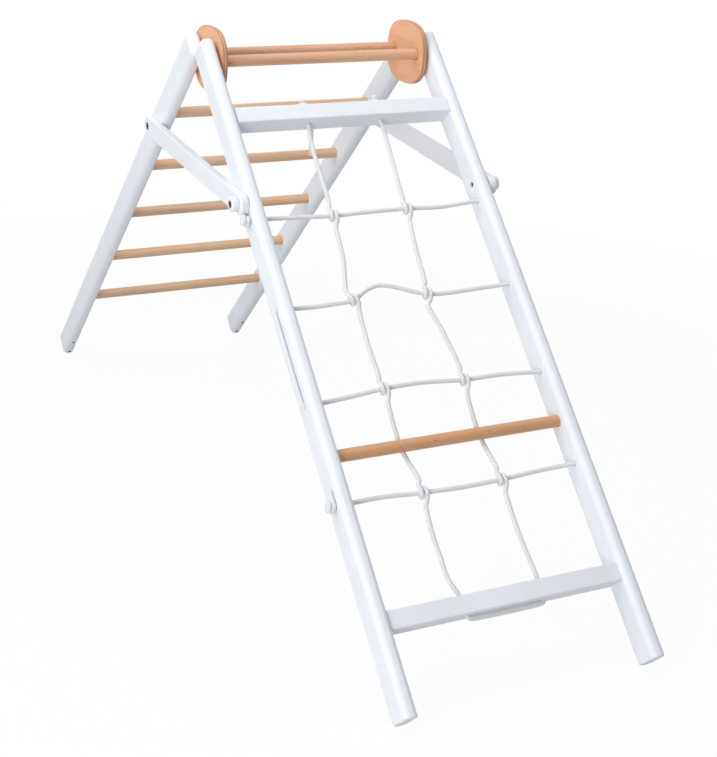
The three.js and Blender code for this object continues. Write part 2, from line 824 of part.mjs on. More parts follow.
// A free end of the upright rope: on from its knot, over the crossbar's rear edge, and
// straight down from there
function tail_points(side, tail) {
  const knot = upright_stopper(side, tail);
  const way = leaving_way(tail);
  const fall = new THREE.Vector3(0, -Math.sin(front_lean), Math.cos(front_lean));
  const start = knot[knot.length - 1].clone().addScaledVector(way, fit_clearance);
  const edge = upper_crossbar_depth / 2 - crossbar_edge_radius - upper_crossbar_outward;
  const run = (edge + start.y) / Math.cos(tail.leaving_angle);
  const turn = way.angleTo(fall);
  const toward = fall.clone().addScaledVector(way, -fall.dot(way)).normalize();
  const points = [];
  for (let step = 0; step < tail_steps; step += 1) {
    points.push(start.clone().addScaledVector(way, (run * step) / tail_steps));
  }
  const corner = start.clone().addScaledVector(way, run);
  for (let step = 0; step <= tail_steps; step += 1) {
    const angle = (turn * step) / tail_steps;
    const point = corner.clone().addScaledVector(way, tail_bend_radius * Math.sin(angle));
    points.push(point.addScaledVector(toward, tail_bend_radius * (1 - Math.cos(angle))));
  }
  const bottom = points[points.length - 1];
  for (let step = 1; step <= tail_steps; step += 1) {
    const point = bottom.clone().addScaledVector(fall, (tail.drop * step) / tail_steps);
    points.push(point);
  }
  return points;
}

// The least gap of one rope to itself or to another, from points along both. On one
// rope, points nearer along it than half a turn of a knot aren't set against each other.
function least_gap(first, second) {
  const itself = first === second;
  const apart = itself ? Math.PI * wrap_radius : -1;
  const dense = (points) => {
    const curve = new THREE.CatmullRomCurve3(points, false, "centripetal");
    curve.arcLengthDivisions = gap_samples;
    return { places: curve.getSpacedPoints(gap_samples), step: curve.getLength() / gap_samples };
  };
  const one = dense(first);
  const other = dense(second);
  let least = Infinity;
  one.places.forEach((point, index) => {
    for (let far = itself ? index + 1 : 0; far < other.places.length; far += 1) {
      if ((far - index) * one.step > apart || !itself) {
        least = Math.min(least, point.distanceTo(other.places[far]));
      }
    }
  });
  return least - rope_diameter;
}

const rope_across = rope_across_points();
const rope_upright = rope_upright_points();
const tail_left = tail_points(0, left_tail);
const tail_right = tail_points(1, right_tail);
console.log("least gap of the rope across to itself", least_gap(rope_across, rope_across).toFixed(2));
console.log("least gap of the upright rope to itself", least_gap(rope_upright, rope_upright).toFixed(2));
console.log("least gap between the two ropes", least_gap(rope_across, rope_upright).toFixed(2));

// Assembly
const sides = [["left", -1], ["right", 1]];

function rear_frame() {
  const group = new THREE.Group();
  sides.forEach(([word, side]) => {
    group.add(rear_rail(`rear_rail_${word}`, side));
    group.add(pivot_bolt(`rear_stay_bolt_${word}`, side));
  });
  group.add(round_bar("rear_hinge_bar", 0));
  for (let rung = 1; rung <= rear_rung_count; rung += 1) {
    group.add(round_bar(`rear_rung_${rung}`, rung * rung_pitch));
  }
  group.position.set(0, rear_hinge.x, rear_hinge.y);
  group.rotation.x = Math.PI + rear_lean;
  return group;
}

function front_frame() {
  const group = new THREE.Group();
  sides.forEach(([word, side]) => {
    group.add(front_rail(`front_rail_${word}`, side));
    group.add(hook_bolt(`front_bolt_${word}`, side));
    group.add(knob(`knob_${word}`, side));
  });
  group.add(round_bar("front_hinge_bar", 0));
  group.add(round_bar("front_rung", front_rung_place));
  group.add(
    crossbar(
      "upper_crossbar",
      upper_crossbar_place,
      upper_crossbar_outward,
      upper_crossbar_height,
      upper_crossbar_depth,
    ),
    crossbar(
      "lower_crossbar",
      lower_crossbar_place,
      lower_crossbar_outward,
      lower_crossbar_height,
      lower_crossbar_depth,
    ),
  );
  group.add(piece("net_rope_across", rope_tube(rope_across), cotton_rope()));
  group.add(piece("net_rope_upright", rope_tube(rope_upright), cotton_rope()));
  group.add(piece("rope_tail_left", rope_tube(tail_left), cotton_rope()));
  group.add(piece("rope_tail_right", rope_tube(tail_right), cotton_rope()));
  group.position.set(0, front_hinge.x, front_hinge.y);
  group.rotation.x = Math.PI - front_lean;
  return group;
}

function hinge_plates() {
  const group = new THREE.Group();
  sides.forEach(([word, side]) => group.add(hinge_plate(`hinge_plate_${word}`, side)));
  group.position.z = bar_height;
  return group;
}

function stays() {
  const group = new THREE.Group();
  sides.forEach(([word, side]) => group.add(stay(`stay_${word}`, side)));
  group.position.set(0, pivot_place.x, pivot_place.y);
  group.rotation.x = stay_slope;
  return group;
}

// The frame stands on the floor with its middle over the origin
const climbing_frame = new THREE.Group();
climbing_frame.add(rear_frame(), hinge_plates(), front_frame(), stays());
const bounds = new THREE.Box3().setFromObject(climbing_frame, true);
const middle = bounds.getCenter(new THREE.Vector3());
climbing_frame.position.set(-middle.x, -middle.y, -bounds.min.z);

export default climbing_frame;
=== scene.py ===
"""Looks of a folding climbing frame: white lacquered rails, beech rungs, plywood hinge
plates, black bolts and a braided rope net, seen in a pale studio."""

import json
import math

import bmesh
import bpy
import numpy as np
from mathutils import Matrix, Vector


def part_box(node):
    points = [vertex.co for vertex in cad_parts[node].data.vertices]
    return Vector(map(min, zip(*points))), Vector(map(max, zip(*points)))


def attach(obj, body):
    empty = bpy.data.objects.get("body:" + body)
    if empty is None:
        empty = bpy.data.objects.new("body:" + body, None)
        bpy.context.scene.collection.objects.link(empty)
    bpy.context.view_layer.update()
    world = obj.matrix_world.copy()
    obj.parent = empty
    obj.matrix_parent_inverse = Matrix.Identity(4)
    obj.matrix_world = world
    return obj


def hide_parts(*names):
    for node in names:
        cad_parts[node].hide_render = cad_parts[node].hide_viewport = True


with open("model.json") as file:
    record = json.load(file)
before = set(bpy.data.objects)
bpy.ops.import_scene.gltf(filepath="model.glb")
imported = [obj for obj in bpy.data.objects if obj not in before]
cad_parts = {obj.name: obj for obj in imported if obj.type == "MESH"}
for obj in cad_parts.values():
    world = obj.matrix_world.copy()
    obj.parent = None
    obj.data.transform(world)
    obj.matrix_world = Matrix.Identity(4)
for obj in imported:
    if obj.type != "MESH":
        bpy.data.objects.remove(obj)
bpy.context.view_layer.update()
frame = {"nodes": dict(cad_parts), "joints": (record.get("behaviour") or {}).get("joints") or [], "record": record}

bl_info = {
    "name": "Climbing Frame Looks",
    "version": (1, 0, 0),
    "blender": (4, 5, 0),
    "location": "View3D > Sidebar > Climbing Frame",
    "description": "Finishes, ropes and studio of a folding climbing frame",
    "category": "Object",
}

MM = 0.001


# Places of the net's own frame, read from the hinges and the feet

def joint_place(name):
    """Where a joint turns, in metres."""
    return np.array(next(j for j in frame["joints"] if j["name"] == name)["pos_m"])


def leg_way(foot):
    """The way down a leg, which is the outward normal of its foot face."""
    return np.array(next(m for m in frame["record"]["mounts"] if m["name"] == foot)["axis"])


FRONT_HINGE = joint_place("front_hinge")
REAR_HINGE = joint_place("rear_hinge")
FRONT_DOWN = leg_way("front_foot_left")
REAR_DOWN = leg_way("rear_foot_left")
ACROSS = np.array([1.0, 0.0, 0.0])
FRONT_OUT = np.cross(FRONT_DOWN, ACROSS)
FRONT_LEAN = math.atan2(-FRONT_DOWN[1], -FRONT_DOWN[2])
REAR_LEAN = math.atan2(REAR_DOWN[1], -REAR_DOWN[2])

# Rails and the holes in their feet, in millimetres
INNER_FACE = 250
OUTER_FACE = 280
MIDDLE_OF_RAIL = (INNER_FACE + OUTER_FACE) / 2
RAIL_HALF_WIDTH = (OUTER_FACE - INNER_FACE) / 2
RAIL_HALF_DEPTH = 32.25
SOLID_EDGE_RADIUS = 8
RAIL_EDGE_RADIUS = 13
REAR_LEG_LENGTH = 1430
FOOT_HOLE_HEIGHTS = (11, 72)
FOOT_HOLE_RADIUS = 4
FOOT_HOLE_DEPTH = 12


def on_front(across, down, outward=0.0):
    """A place of the front frame in millimetres, as an array of across, outwards, down."""
    return np.array([across, outward, down], float)


def to_world(points):
    """Front frame places in millimetres as places of the whole object in metres."""
    points = np.atleast_2d(points) * MM
    return FRONT_HINGE + points[:, :1] * ACROSS + points[:, 1:2] * FRONT_OUT + points[:, 2:] * FRONT_DOWN


# Settings a user would change

def length_setting(name, description, default):
    """A setting that is a length in metres."""
    return bpy.props.FloatProperty(name=name, description=description, default=default, unit="LENGTH")


def colour_setting(name, description, default):
    """A setting that is a colour."""
    return bpy.props.FloatVectorProperty(name=name, description=description, default=default, subtype="COLOR")


class ClimbingFrameSizes(bpy.types.PropertyGroup):
    """Sizes of the rope and its braid."""

    rope_diameter: length_setting("Rope Diameter", "Thickness of the braided rope", 0.0096)
    strands: bpy.props.IntProperty(
        name="Strands", description="Strands of the braid that wind each way", default=8, min=3)
    braid_pitch: length_setting("Braid Pitch", "Length along the rope between two strands of one way", 0.0036)
    braid_relief: length_setting("Braid Relief", "Depth of the grooves between the strands", 0.0008)
    ring_step: length_setting("Ring Step", "Distance between two rings of the rope's mesh", 0.0010)
    ring_points: bpy.props.IntProperty(
        name="Ring Points", description="Points in each ring of the rope's mesh", default=32, min=8)


class ClimbingFrameColours(bpy.types.PropertyGroup):
    """Colours of the finishes."""

    lacquer: colour_setting("Lacquer", "White lacquer of rails, crossbars and stays", (0.85, 0.88, 0.925))
    # Painted shade: near black for the faces inside the rear feet's blind holes, where shade falls
    painted_hole_shade: colour_setting("Foot Hole", "Dark inside of the rear feet's holes", (0.008, 0.008, 0.009))
    beech: colour_setting("Beech", "Middle colour of the hinge bars", (0.70, 0.39, 0.225))
    warm_beech: colour_setting("Warm Beech", "Redder beech of the front rung", (0.66, 0.34, 0.165))
    pale_beech: colour_setting("Pale Beech", "Paler beech of the rear rungs", (0.68, 0.43, 0.265))
    beech_streak: colour_setting("Beech Streak", "Darker growth streaks of the beech", (0.52, 0.265, 0.14))
    veneer: colour_setting("Veneer", "Face veneer of the hinge plates", (0.82, 0.43, 0.235))
    dark_ply: colour_setting("Dark Ply", "Dark plies in the edge of the hinge plates", (0.38, 0.20, 0.10))
    rope: colour_setting("Rope", "White yarn of the ropes", (0.90, 0.91, 0.915))
    # Painted shade: the colour that the grooves between the braid's strands are darkened to
    rope_groove_shade: colour_setting("Rope Groove", "Shade between the strands", (0.33, 0.35, 0.37))
    steel: colour_setting("Steel", "Black steel of the bolts", (0.012, 0.012, 0.014))
    worn_steel: colour_setting("Worn Steel", "Bright specks where the black is worn", (0.20, 0.20, 0.21))
    knob: colour_setting("Knob", "White plastic of the knobs", (0.86, 0.87, 0.90))


# Node graphs

class Graph:
    """The node graph of a new material or world with its first shader, built a node at a time."""

    # Where a mix node that works on colours has its two colours and its result
    mix_colours = (6, 7)
    mix_result = 2

    def __init__(self, name, kind="materials"):
        self.owner = getattr(bpy.data, kind).new(name)
        self.owner.use_nodes = True
        self.tree = self.owner.node_tree
        self.output = next(node for node in self.tree.nodes if node.type.startswith("OUTPUT"))
        self.shader = self.output.inputs["Surface"].links[0].from_node
        self.coordinates = None

    def node(self, kind, settings=None, **inputs):
        """A new shader node with these settings and input values, names with _ for spaces."""
        made = self.tree.nodes.new(f"ShaderNode{kind}")
        for key, value in (settings or {}).items():
            setattr(made, key, value)
        for key, value in inputs.items():
            self.feed(made.inputs[key.replace("_", " ")], value)
        return made

    def feed(self, socket, value):
        """Sets an input, or links it where the value is another node's output."""
        if isinstance(value, bpy.types.NodeSocket):
            self.tree.links.new(value, socket)
        else:
            socket.default_value = value

    def set(self, **inputs):
        """Sets or links inputs of the first shader."""
        for key, value in inputs.items():
            self.feed(self.shader.inputs[key.replace("_", " ")], value)

    def coords(self, scale=(1, 1, 1), turn=(0, 0, 0)):
        """Object coordinates, turned and then stretched along each axis."""
        if self.coordinates is None:
            self.coordinates = self.node("TexCoord").outputs["Object"]
        mapping = self.node("Mapping", Vector=self.coordinates, Rotation=turn)
        return self.stretched(mapping.outputs["Vector"], scale)

    def stretched(self, vector, scale):
        """A vector multiplied axis by axis."""
        made = self.node("VectorMath", {"operation": "MULTIPLY"}, Vector=vector)
        made.inputs[1].default_value = scale
        return made.outputs["Vector"]

    def noise(self, scale, detail=3.0, roughness=0.5, distortion=0.0, turn=(0, 0, 0), place=None):
        """A noise texture's value at a place or the turned object coordinates. A scale for each
        axis stretches them."""
        if isinstance(scale, tuple):
            place = self.stretched(place, scale) if place else self.coords(scale, turn)
            scale = 1.0
        made = self.node("TexNoise", Vector=place or self.coords(), Scale=scale, Detail=detail,
                         Roughness=roughness, Distortion=distortion)
        return made.outputs["Fac"]

    def math(self, operation, first, second=0.0, third=0.0):
        """One arithmetic step."""
        made = self.node("Math", {"operation": operation})
        for socket, value in zip(made.inputs, (first, second, third)):
            self.feed(socket, value)
        return made.outputs[0]

    def remap(self, value, low, high, to_low=0.0, to_high=1.0):
        """A value stretched from one range to another and kept inside it."""
        made = self.node("MapRange", Value=value, From_Min=low, From_Max=high, To_Min=to_low,
                         To_Max=to_high)
        return made.outputs["Result"]

    def blend(self, factor, first, second):
        """A colour between two colours."""
        made = self.node("Mix", {"data_type": "RGBA"}, Factor=factor)
        for index, colour in zip(self.mix_colours, (first, second)):
            is_socket = isinstance(colour, bpy.types.NodeSocket)
            self.feed(made.inputs[index], colour if is_socket else (*colour, 1))
        return made.outputs[self.mix_result]

    def bump(self, height, distance, strength=1.0, below=None):
        """A bump from a height, over an earlier bump where one is given."""
        made = self.node("Bump", Height=height, Distance=distance, Strength=strength)
        if below is not None:
            self.feed(made.inputs["Normal"], below)
        return made.outputs["Normal"]


def scaled(colour, factor):
    """A colour made lighter or darker, kept within 0 to 1."""
    return tuple(min(1.0, channel * factor) for channel in colour)


# Finishes, with the depths of their reliefs in metres

GRAIN_RELIEF = 0.00010
SPRAY_RELIEF = 0.00007
STREAK_RELIEF = 0.00008
PORE_RELIEF = 0.00004
VENEER_RELIEF = 0.00008
GLUE_RELIEF = 0.00012
FILAMENT_RELIEF = 0.00010
MOTTLE_RELIEF = 0.00004
MOULD_RELIEF = 0.00003
PLIES = 9
GRAIN_TURNS = {
    "front": (FRONT_LEAN, 0, 0),
    "rear": (-REAR_LEAN, 0, 0),
    "crossbar": (0, math.pi / 2, 0),
    "stay": (math.pi / 2, 0, 0),
}


def lacquer_finish(name, colour, hole_shade_colour, turn):
    """White lacquer on wood: sprayed skin, faint raised grain along the leg, small colour drift.
    Faces marked as the inside of a foot hole get painted shade, a near black that stands for the shade in the
    hole."""
    graph = Graph(name)
    grain = graph.noise((900, 900, 14), 4.0, 0.6, turn=turn)
    skin = graph.noise(420.0, 2.0)
    drift = graph.noise(7.0)
    specks = graph.noise(260.0, 1.0)
    tone = graph.remap(drift, 0.35, 0.65)
    base = graph.blend(tone, scaled(colour, 0.965), scaled(colour, 1.01))
    line = graph.remap(grain, 0.58, 0.76, 0.0, 0.22)
    base = graph.blend(line, base, scaled(colour, 0.80))
    speck = graph.remap(specks, 0.76, 0.80, 0.0, 0.18)
    base = graph.blend(speck, base, scaled(colour, 0.72))
    # Painted shade: faces marked inside a foot hole are blended to the near black hole shade colour
    hole = graph.node("Attribute", {"attribute_name": "painted_hole_shade"}).outputs["Fac"]
    base = graph.blend(hole, base, hole_shade_colour)
    relief = graph.bump(grain, GRAIN_RELIEF, 0.30)
    relief = graph.bump(skin, SPRAY_RELIEF, 0.35, relief)
    graph.set(Base_Color=base, Roughness=graph.remap(drift, 0.3, 0.7, 0.56, 0.66), Normal=relief,
              IOR=1.45, Specular_IOR_Level=0.4)
    return graph.owner


def beech_finish(name, colour, streak):
    """Beech: long growth streaks, short dark flecks, fine pores and a thin clear lacquer."""
    graph = Graph(name)
    streaks = graph.noise((5, 150, 150), 5.0, 0.55, 0.4)
    broad = graph.noise((1.6, 26, 26), 3.0, 0.5, 0.2)
    flecks = graph.noise((260, 1500, 1500), 1.0)
    pores = graph.noise((120, 3200, 3200), 2.0)
    base = graph.blend(graph.remap(broad, 0.32, 0.68), scaled(colour, 1.10), scaled(colour, 0.90))
    base = graph.blend(graph.remap(streaks, 0.50, 0.72, 0.0, 0.55), base, streak)
    base = graph.blend(graph.remap(flecks, 0.66, 0.74, 0.0, 0.45), base, scaled(streak, 0.72))
    base = graph.blend(graph.remap(pores, 0.64, 0.72, 0.0, 0.25), base, scaled(streak, 0.62))
    knots = graph.noise((70, 260, 260), 0.0)
    base = graph.blend(graph.remap(knots, 0.80, 0.84, 0.0, 0.8), base, scaled(streak, 0.35))
    relief = graph.bump(streaks, STREAK_RELIEF, 0.4)
    relief = graph.bump(pores, PORE_RELIEF, 0.5, relief)
    graph.set(Base_Color=base, Roughness=graph.remap(streaks, 0.3, 0.7, 0.42, 0.56), Normal=relief,
              IOR=1.5, Coat_Weight=0.15, Coat_Roughness=0.3)
    return graph.owner


def plywood_finish(name, veneer, dark_ply, start, thickness):
    """Plywood: grained face veneer, and in the edge one stripe for each ply across X."""
    graph = Graph(name)
    grain = graph.noise((300, 9, 160), 5.0, 0.6, 0.5)
    broad = graph.noise((40, 4, 22), 3.0, 0.5, 0.4)
    flecks = graph.noise((900, 240, 1500), 1.0)
    face = graph.blend(graph.remap(broad, 0.35, 0.65), scaled(veneer, 1.06), scaled(veneer, 0.92))
    face = graph.blend(graph.remap(grain, 0.50, 0.75, 0.0, 0.45), face, scaled(veneer, 0.70))
    face = graph.blend(graph.remap(flecks, 0.68, 0.75, 0.0, 0.35), face, scaled(veneer, 0.52))
    across = graph.node("SeparateXYZ", Vector=graph.coords()).outputs["X"]
    depth = graph.math("SUBTRACT", graph.math("ABSOLUTE", across), start)
    wander = graph.math("MULTIPLY", graph.math("SUBTRACT", broad, 0.5), 0.25)
    ply = graph.math("ADD", graph.math("DIVIDE", depth, thickness / PLIES), wander)
    odd = graph.math("PINGPONG", ply, 1.0)
    halves = graph.math("DIVIDE", depth, thickness / 2)
    from_middle = graph.math("ABSOLUTE", graph.math("SUBTRACT", halves, 1.0))
    stripes = graph.remap(odd, 0.42, 0.58)
    glue = graph.remap(graph.math("ABSOLUTE", graph.math("SUBTRACT", odd, 0.5)), 0.0, 0.10, 0.7, 0.0)
    edge = graph.blend(stripes, scaled(veneer, 0.66), scaled(veneer, 0.44))
    edge = graph.blend(glue, edge, dark_ply)
    edge = graph.blend(graph.remap(from_middle, 0.10, 0.20, 1.0, 0.0), edge, scaled(veneer, 0.95))
    edge = graph.blend(graph.remap(from_middle, 0.70, 0.88), edge, dark_ply)
    to_object = {"vector_type": "NORMAL", "convert_from": "WORLD", "convert_to": "OBJECT"}
    true_normal = graph.node("NewGeometry").outputs["True Normal"]
    normal = graph.node("VectorTransform", to_object, Vector=true_normal)
    facing = graph.node("SeparateXYZ", Vector=normal.outputs["Vector"]).outputs["X"]
    side = graph.remap(graph.math("ABSOLUTE", facing), 0.84, 0.96, 1.0, 0.0)
    base = graph.blend(side, face, edge)
    relief = graph.bump(grain, VENEER_RELIEF, 0.4)
    relief = graph.bump(graph.math("MULTIPLY", glue, side), GLUE_RELIEF, 0.5, relief)
    graph.set(Base_Color=base, Roughness=graph.remap(grain, 0.3, 0.7, 0.45, 0.6), Normal=relief,
              IOR=1.5, Coat_Weight=0.12, Coat_Roughness=0.3)
    return graph.owner


def rope_finish(name, colour, groove, sizes):
    """Braided yarn: the braid's height, as in braided_rope, darkens the grooves between the strands with painted
    shade and raises their crowns; fine filaments run over it, darkened with the same painted shade."""
    graph = Graph(name)
    place = graph.node("UVMap", {"uv_map": "rope"}).outputs["UV"]
    parts = graph.node("SeparateXYZ", Vector=place)
    run = graph.math("DIVIDE", parts.outputs["X"], sizes.braid_pitch)
    wound = graph.math("MULTIPLY", parts.outputs["Y"], sizes.strands)
    first, second = (
        graph.math("COSINE", graph.math("MULTIPLY", graph.math(step, wound, run), math.pi))
        for step in ("ADD", "SUBTRACT"))
    heights = []
    for strand, other, sway in ((first, second, STRAND_SWAY), (second, first, -STRAND_SWAY)):
        passing = graph.math("MULTIPLY", graph.math("SIGN", strand), other)
        middle = graph.math("MULTIPLY_ADD", passing, sway, STRAND_HEIGHT)
        hump = graph.math("POWER", graph.math("ABSOLUTE", strand), STRAND_CROWN)
        heights.append(graph.math("MULTIPLY", hump, middle))
    height = graph.math("MAXIMUM", *heights)
    filaments = graph.noise((900, 70, 1), 3.0, 0.6, place=place)
    soil = graph.noise(30.0, 4.0)
    # Painted shade: low braid height and the filament lines blend towards the groove shade colour
    base = graph.blend(graph.remap(height, 0.30, 0.56, 0.9, 0.0), colour, groove)
    base = graph.blend(graph.remap(filaments, 0.5, 0.8, 0.0, 0.22), base, groove)
    base = graph.blend(graph.remap(soil, 0.5, 0.8, 0.0, 0.10), base, scaled(colour, 0.82))
    relief = graph.bump(height, sizes.braid_relief, 0.8)
    relief = graph.bump(filaments, FILAMENT_RELIEF, 0.5, relief)
    graph.set(Base_Color=base, Roughness=0.92, Normal=relief, Sheen_Weight=0.25, Sheen_Roughness=0.5,
              Specular_IOR_Level=0.2)
    return graph.owner


def steel_finish(name, colour, worn):
    """Blackened steel: a faint mottle and worn bright specks."""
    graph = Graph(name)
    mottle = graph.noise(500.0, 4.0, 0.6)
    wear = graph.noise(1100.0, 3.0, 0.6)
    base = graph.blend(graph.remap(mottle, 0.35, 0.7), colour, scaled(colour, 1.8))
    base = graph.blend(graph.remap(wear, 0.68, 0.78, 0.0, 0.4), base, worn)
    graph.set(Base_Color=base, Metallic=0.6, Roughness=graph.remap(mottle, 0.3, 0.7, 0.40, 0.55),
              Normal=graph.bump(mottle, MOTTLE_RELIEF, 0.4))
    return graph.owner


def knob_finish(name, colour):
    """Moulded white plastic: fine texture and a slight drift of tone."""
    graph = Graph(name)
    texture = graph.noise(1400.0, 2.0)
    drift = graph.noise(60.0)
    base = graph.blend(graph.remap(drift, 0.35, 0.65), scaled(colour, 0.96), colour)
    graph.set(Base_Color=base, Roughness=graph.remap(texture, 0.3, 0.7, 0.36, 0.46),
              Normal=graph.bump(texture, MOULD_RELIEF, 0.35), IOR=1.46)
    return graph.owner


# Mesh work

MERGE_DISTANCE = 1e-6
SMOOTH_ANGLE = math.radians(50)
BOLT_SMOOTH_ANGLE = math.radians(35)


def placed(name, data):
    """A new object of the scene with this data."""
    made = bpy.data.objects.new(name, data)
    bpy.context.scene.collection.objects.link(made)
    return made


def stand_for(piece, node, body):
    """Has a piece ride on a body in place of a CAD node."""
    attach(piece, body)
    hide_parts(node)


def array_of(collection, key, width=3, kind=float):
    """One property of all the items of a mesh, as an array with a row for each."""
    values = np.empty(len(collection) * width, kind)
    collection.foreach_get(key, values)
    return values.reshape(-1, width)


def dressed(node, material, body, angle=SMOOTH_ANGLE, outline=None):
    """A merged copy of a CAD solid whose roundings are shaded smooth, while edges sharper than
    the angle stay sharp; it stands for the node and rides on the same body. A rail's copy first
    gets the roundings of its outline, and that outline's own normals."""
    mesh = bmesh.new()
    mesh.from_mesh(frame["nodes"][node].data)
    bmesh.ops.remove_doubles(mesh, verts=mesh.verts, dist=MERGE_DISTANCE)
    if outline:
        outline.cut(mesh)
    for edge in mesh.edges:
        edge.smooth = len(edge.link_faces) == 2 and edge.calc_face_angle(0.0) < angle
    data = bpy.data.meshes.new(node + "_finished")
    mesh.to_mesh(data)
    mesh.free()
    data.shade_smooth()
    if outline:
        outline.crown(data)
    data.materials.clear()
    data.materials.append(material)
    piece = placed(node + "_finished", data)
    if outline:
        data.normals_split_custom_set(outline.normals(data))
    else:
        weighted = piece.modifiers.new("weighted normals", "WEIGHTED_NORMAL")
        weighted.keep_sharp = True
        weighted.mode = "FACE_AREA"
    stand_for(piece, node, body)
    return piece


class RailOutline:
    """The roundings along a rail's narrow faces, fuller than those of its solid."""

    arc_middle = np.array([RAIL_HALF_WIDTH, RAIL_HALF_DEPTH]) - RAIL_EDGE_RADIUS
    along_tolerance = 0.002
    arc_tolerance = 0.05
    flat_facing = 0.9999
    wall_facing = 0.3
    hole_margin = 0.5

    def __init__(self, side, hinge, down):
        self.outward = np.cross(down, ACROSS)
        self.down = down
        self.middle = hinge * [0, 1, 1] + ACROSS * side * MIDDLE_OF_RAIL * MM

    def section(self, places):
        """Places as (across, depth) from the rail's middle, in millimetres."""
        return (places - self.middle) @ np.stack([ACROSS, self.outward], -1) / MM

    def cut(self, mesh):
        """Cuts the faces along the lines where the fuller arcs begin and end."""
        for way, distance in zip((ACROSS, self.outward), self.arc_middle):
            for place in (self.middle - way * distance * MM, self.middle + way * distance * MM):
                whole = [*mesh.verts, *mesh.edges, *mesh.faces]
                bmesh.ops.bisect_plane(mesh, geom=whole, plane_co=place, plane_no=way)

    def crown(self, data):
        """Draws each corner of the section in to the fuller rounding: a place within an arc goes
        straight towards the arc's middle, until it lies as far inside the arc as it was inside
        the solid's own outline, which is a rounded rectangle."""
        places = array_of(data.vertices, "co")
        section = self.section(places)
        corner = np.abs(section) - [RAIL_HALF_WIDTH, RAIL_HALF_DEPTH] + SOLID_EDGE_RADIUS
        beyond = np.linalg.norm(np.maximum(corner, 0), axis=1)
        inside = SOLID_EDGE_RADIUS - beyond - np.minimum(corner.max(axis=1), 0)
        from_middle = np.abs(section) - self.arc_middle
        distance = np.linalg.norm(from_middle, axis=1)
        moves = (from_middle.min(axis=1) > 0) & (inside < SOLID_EDGE_RADIUS)
        share = np.where(moves, (RAIL_EDGE_RADIUS - inside) / np.maximum(distance, MM) - 1, 0)
        change = np.sign(section) * from_middle * share[:, None] * MM
        moved = places + change[:, :1] * ACROSS + change[:, 1:] * self.outward
        data.vertices.foreach_set("co", moved.astype(np.float32).ravel())
        data.update()

    def mark_foot_holes(self, data):
        """Marks the faces inside the blind holes of a rear foot, which the lacquer darkens as painted shade: those
        near a hole's axis that are walls along it, or lie as deep as its floor."""
        centres = array_of(data.polygons, "center")
        facing = np.abs(array_of(data.polygons, "normal") @ self.outward)
        across, depth = self.section(centres).T
        height = REAR_LEG_LENGTH - (centres - self.middle) @ self.down / MM
        away = np.min([np.hypot(height - hole, across) for hole in FOOT_HOLE_HEIGHTS], axis=0)
        within = (facing < self.wall_facing) | (np.abs(depth) < RAIL_HALF_DEPTH - FOOT_HOLE_DEPTH / 2)
        marked = (away < FOOT_HOLE_RADIUS + self.hole_margin) & within
        data.attributes.new("painted_hole_shade", "FLOAT", "FACE").data.foreach_set("value", marked.astype(float))

    def normals(self, data):
        """The normal of every face corner: on faces along the rail that of the flat side or of
        the arc, whose direction is the place less the arc's centre; elsewhere the mesh's own."""
        normals = array_of(data.corner_normals, "vector")
        vertex_of_corner = array_of(data.loops, "vertex_index", 1, int)[:, 0]
        places = array_of(data.vertices, "co")[vertex_of_corner]
        corners = array_of(data.polygons, "loop_total", 1, int)[:, 0]
        faces = np.repeat(array_of(data.polygons, "normal"), corners, axis=0)
        section = self.section(places)
        side, front = np.sign(section).T
        arc = np.maximum(np.abs(section) - self.arc_middle, 0)
        round_normals = (side * arc[:, 0])[:, None] * ACROSS + (front * arc[:, 1])[:, None] * self.outward
        length = np.linalg.norm(round_normals, axis=1)
        along = np.abs(faces @ self.down) < self.along_tolerance
        flat = np.abs(faces @ ACROSS) > self.flat_facing
        rounded = along & (np.abs(length - RAIL_EDGE_RADIUS) < self.arc_tolerance) & ~flat
        normals[rounded] = round_normals[rounded] / length[rounded, None]
        normals[flat] = faces[flat]
        return normals


def tube(name, rings, lengths, material):
    """A closed tube from an array of rings (rings, points, 3): quads between rings and a fan of
    triangles at each end. Its UV is the length in metres and the share of the way round."""
    count, around = rings.shape[:2]
    ring = np.arange(count - 1)[:, None] * around
    corner = np.arange(around)[None, :]
    beside = (corner + 1) % around
    quads = np.stack([ring + corner, ring + beside, ring + around + beside, ring + around + corner], -1)
    start_centre = np.full(around, count * around)
    last = (count - 1) * around
    start_fan = np.stack([beside[0], corner[0], start_centre], -1)
    end_fan = np.stack([last + corner[0], last + beside[0], start_centre + 1], -1)
    places = np.concatenate([rings.reshape(-1, 3), [rings[0].mean(0)], [rings[-1].mean(0)]])
    data = bpy.data.meshes.new(name)
    data.from_pydata(places, [], quads.reshape(-1, 4).tolist() + start_fan.tolist() + end_fan.tolist())
    data.shade_smooth()
    start, end, here, after = np.broadcast_arrays(lengths[:-1, None], lengths[1:, None], corner, corner + 1)
    along = np.stack([start, start, end, end], -1)
    turn = np.stack([here, after, after, here], -1) / around
    caps = [np.tile([[length, 0.0]], (3 * around, 1)) for length in (lengths[0], lengths[-1])]
    uv = np.concatenate([np.stack([along, turn], -1).reshape(-1, 2), *caps])
    data.uv_layers.new(name="rope").data.foreach_set("uv", uv.astype(np.float32).ravel())
    data.materials.append(material)
    return placed(name, data)


# Shape of the braid: how high a strand lies, how far it sways over and under, the power of its
# rounded crown, and how far the rope draws in at its sealed ends
STRAND_HEIGHT = 0.6
STRAND_SWAY = 0.4
STRAND_CROWN = 0.6
SEALED_SHARE = 0.72
SEALED_RINGS = 2
CURVE_STEPS = 24


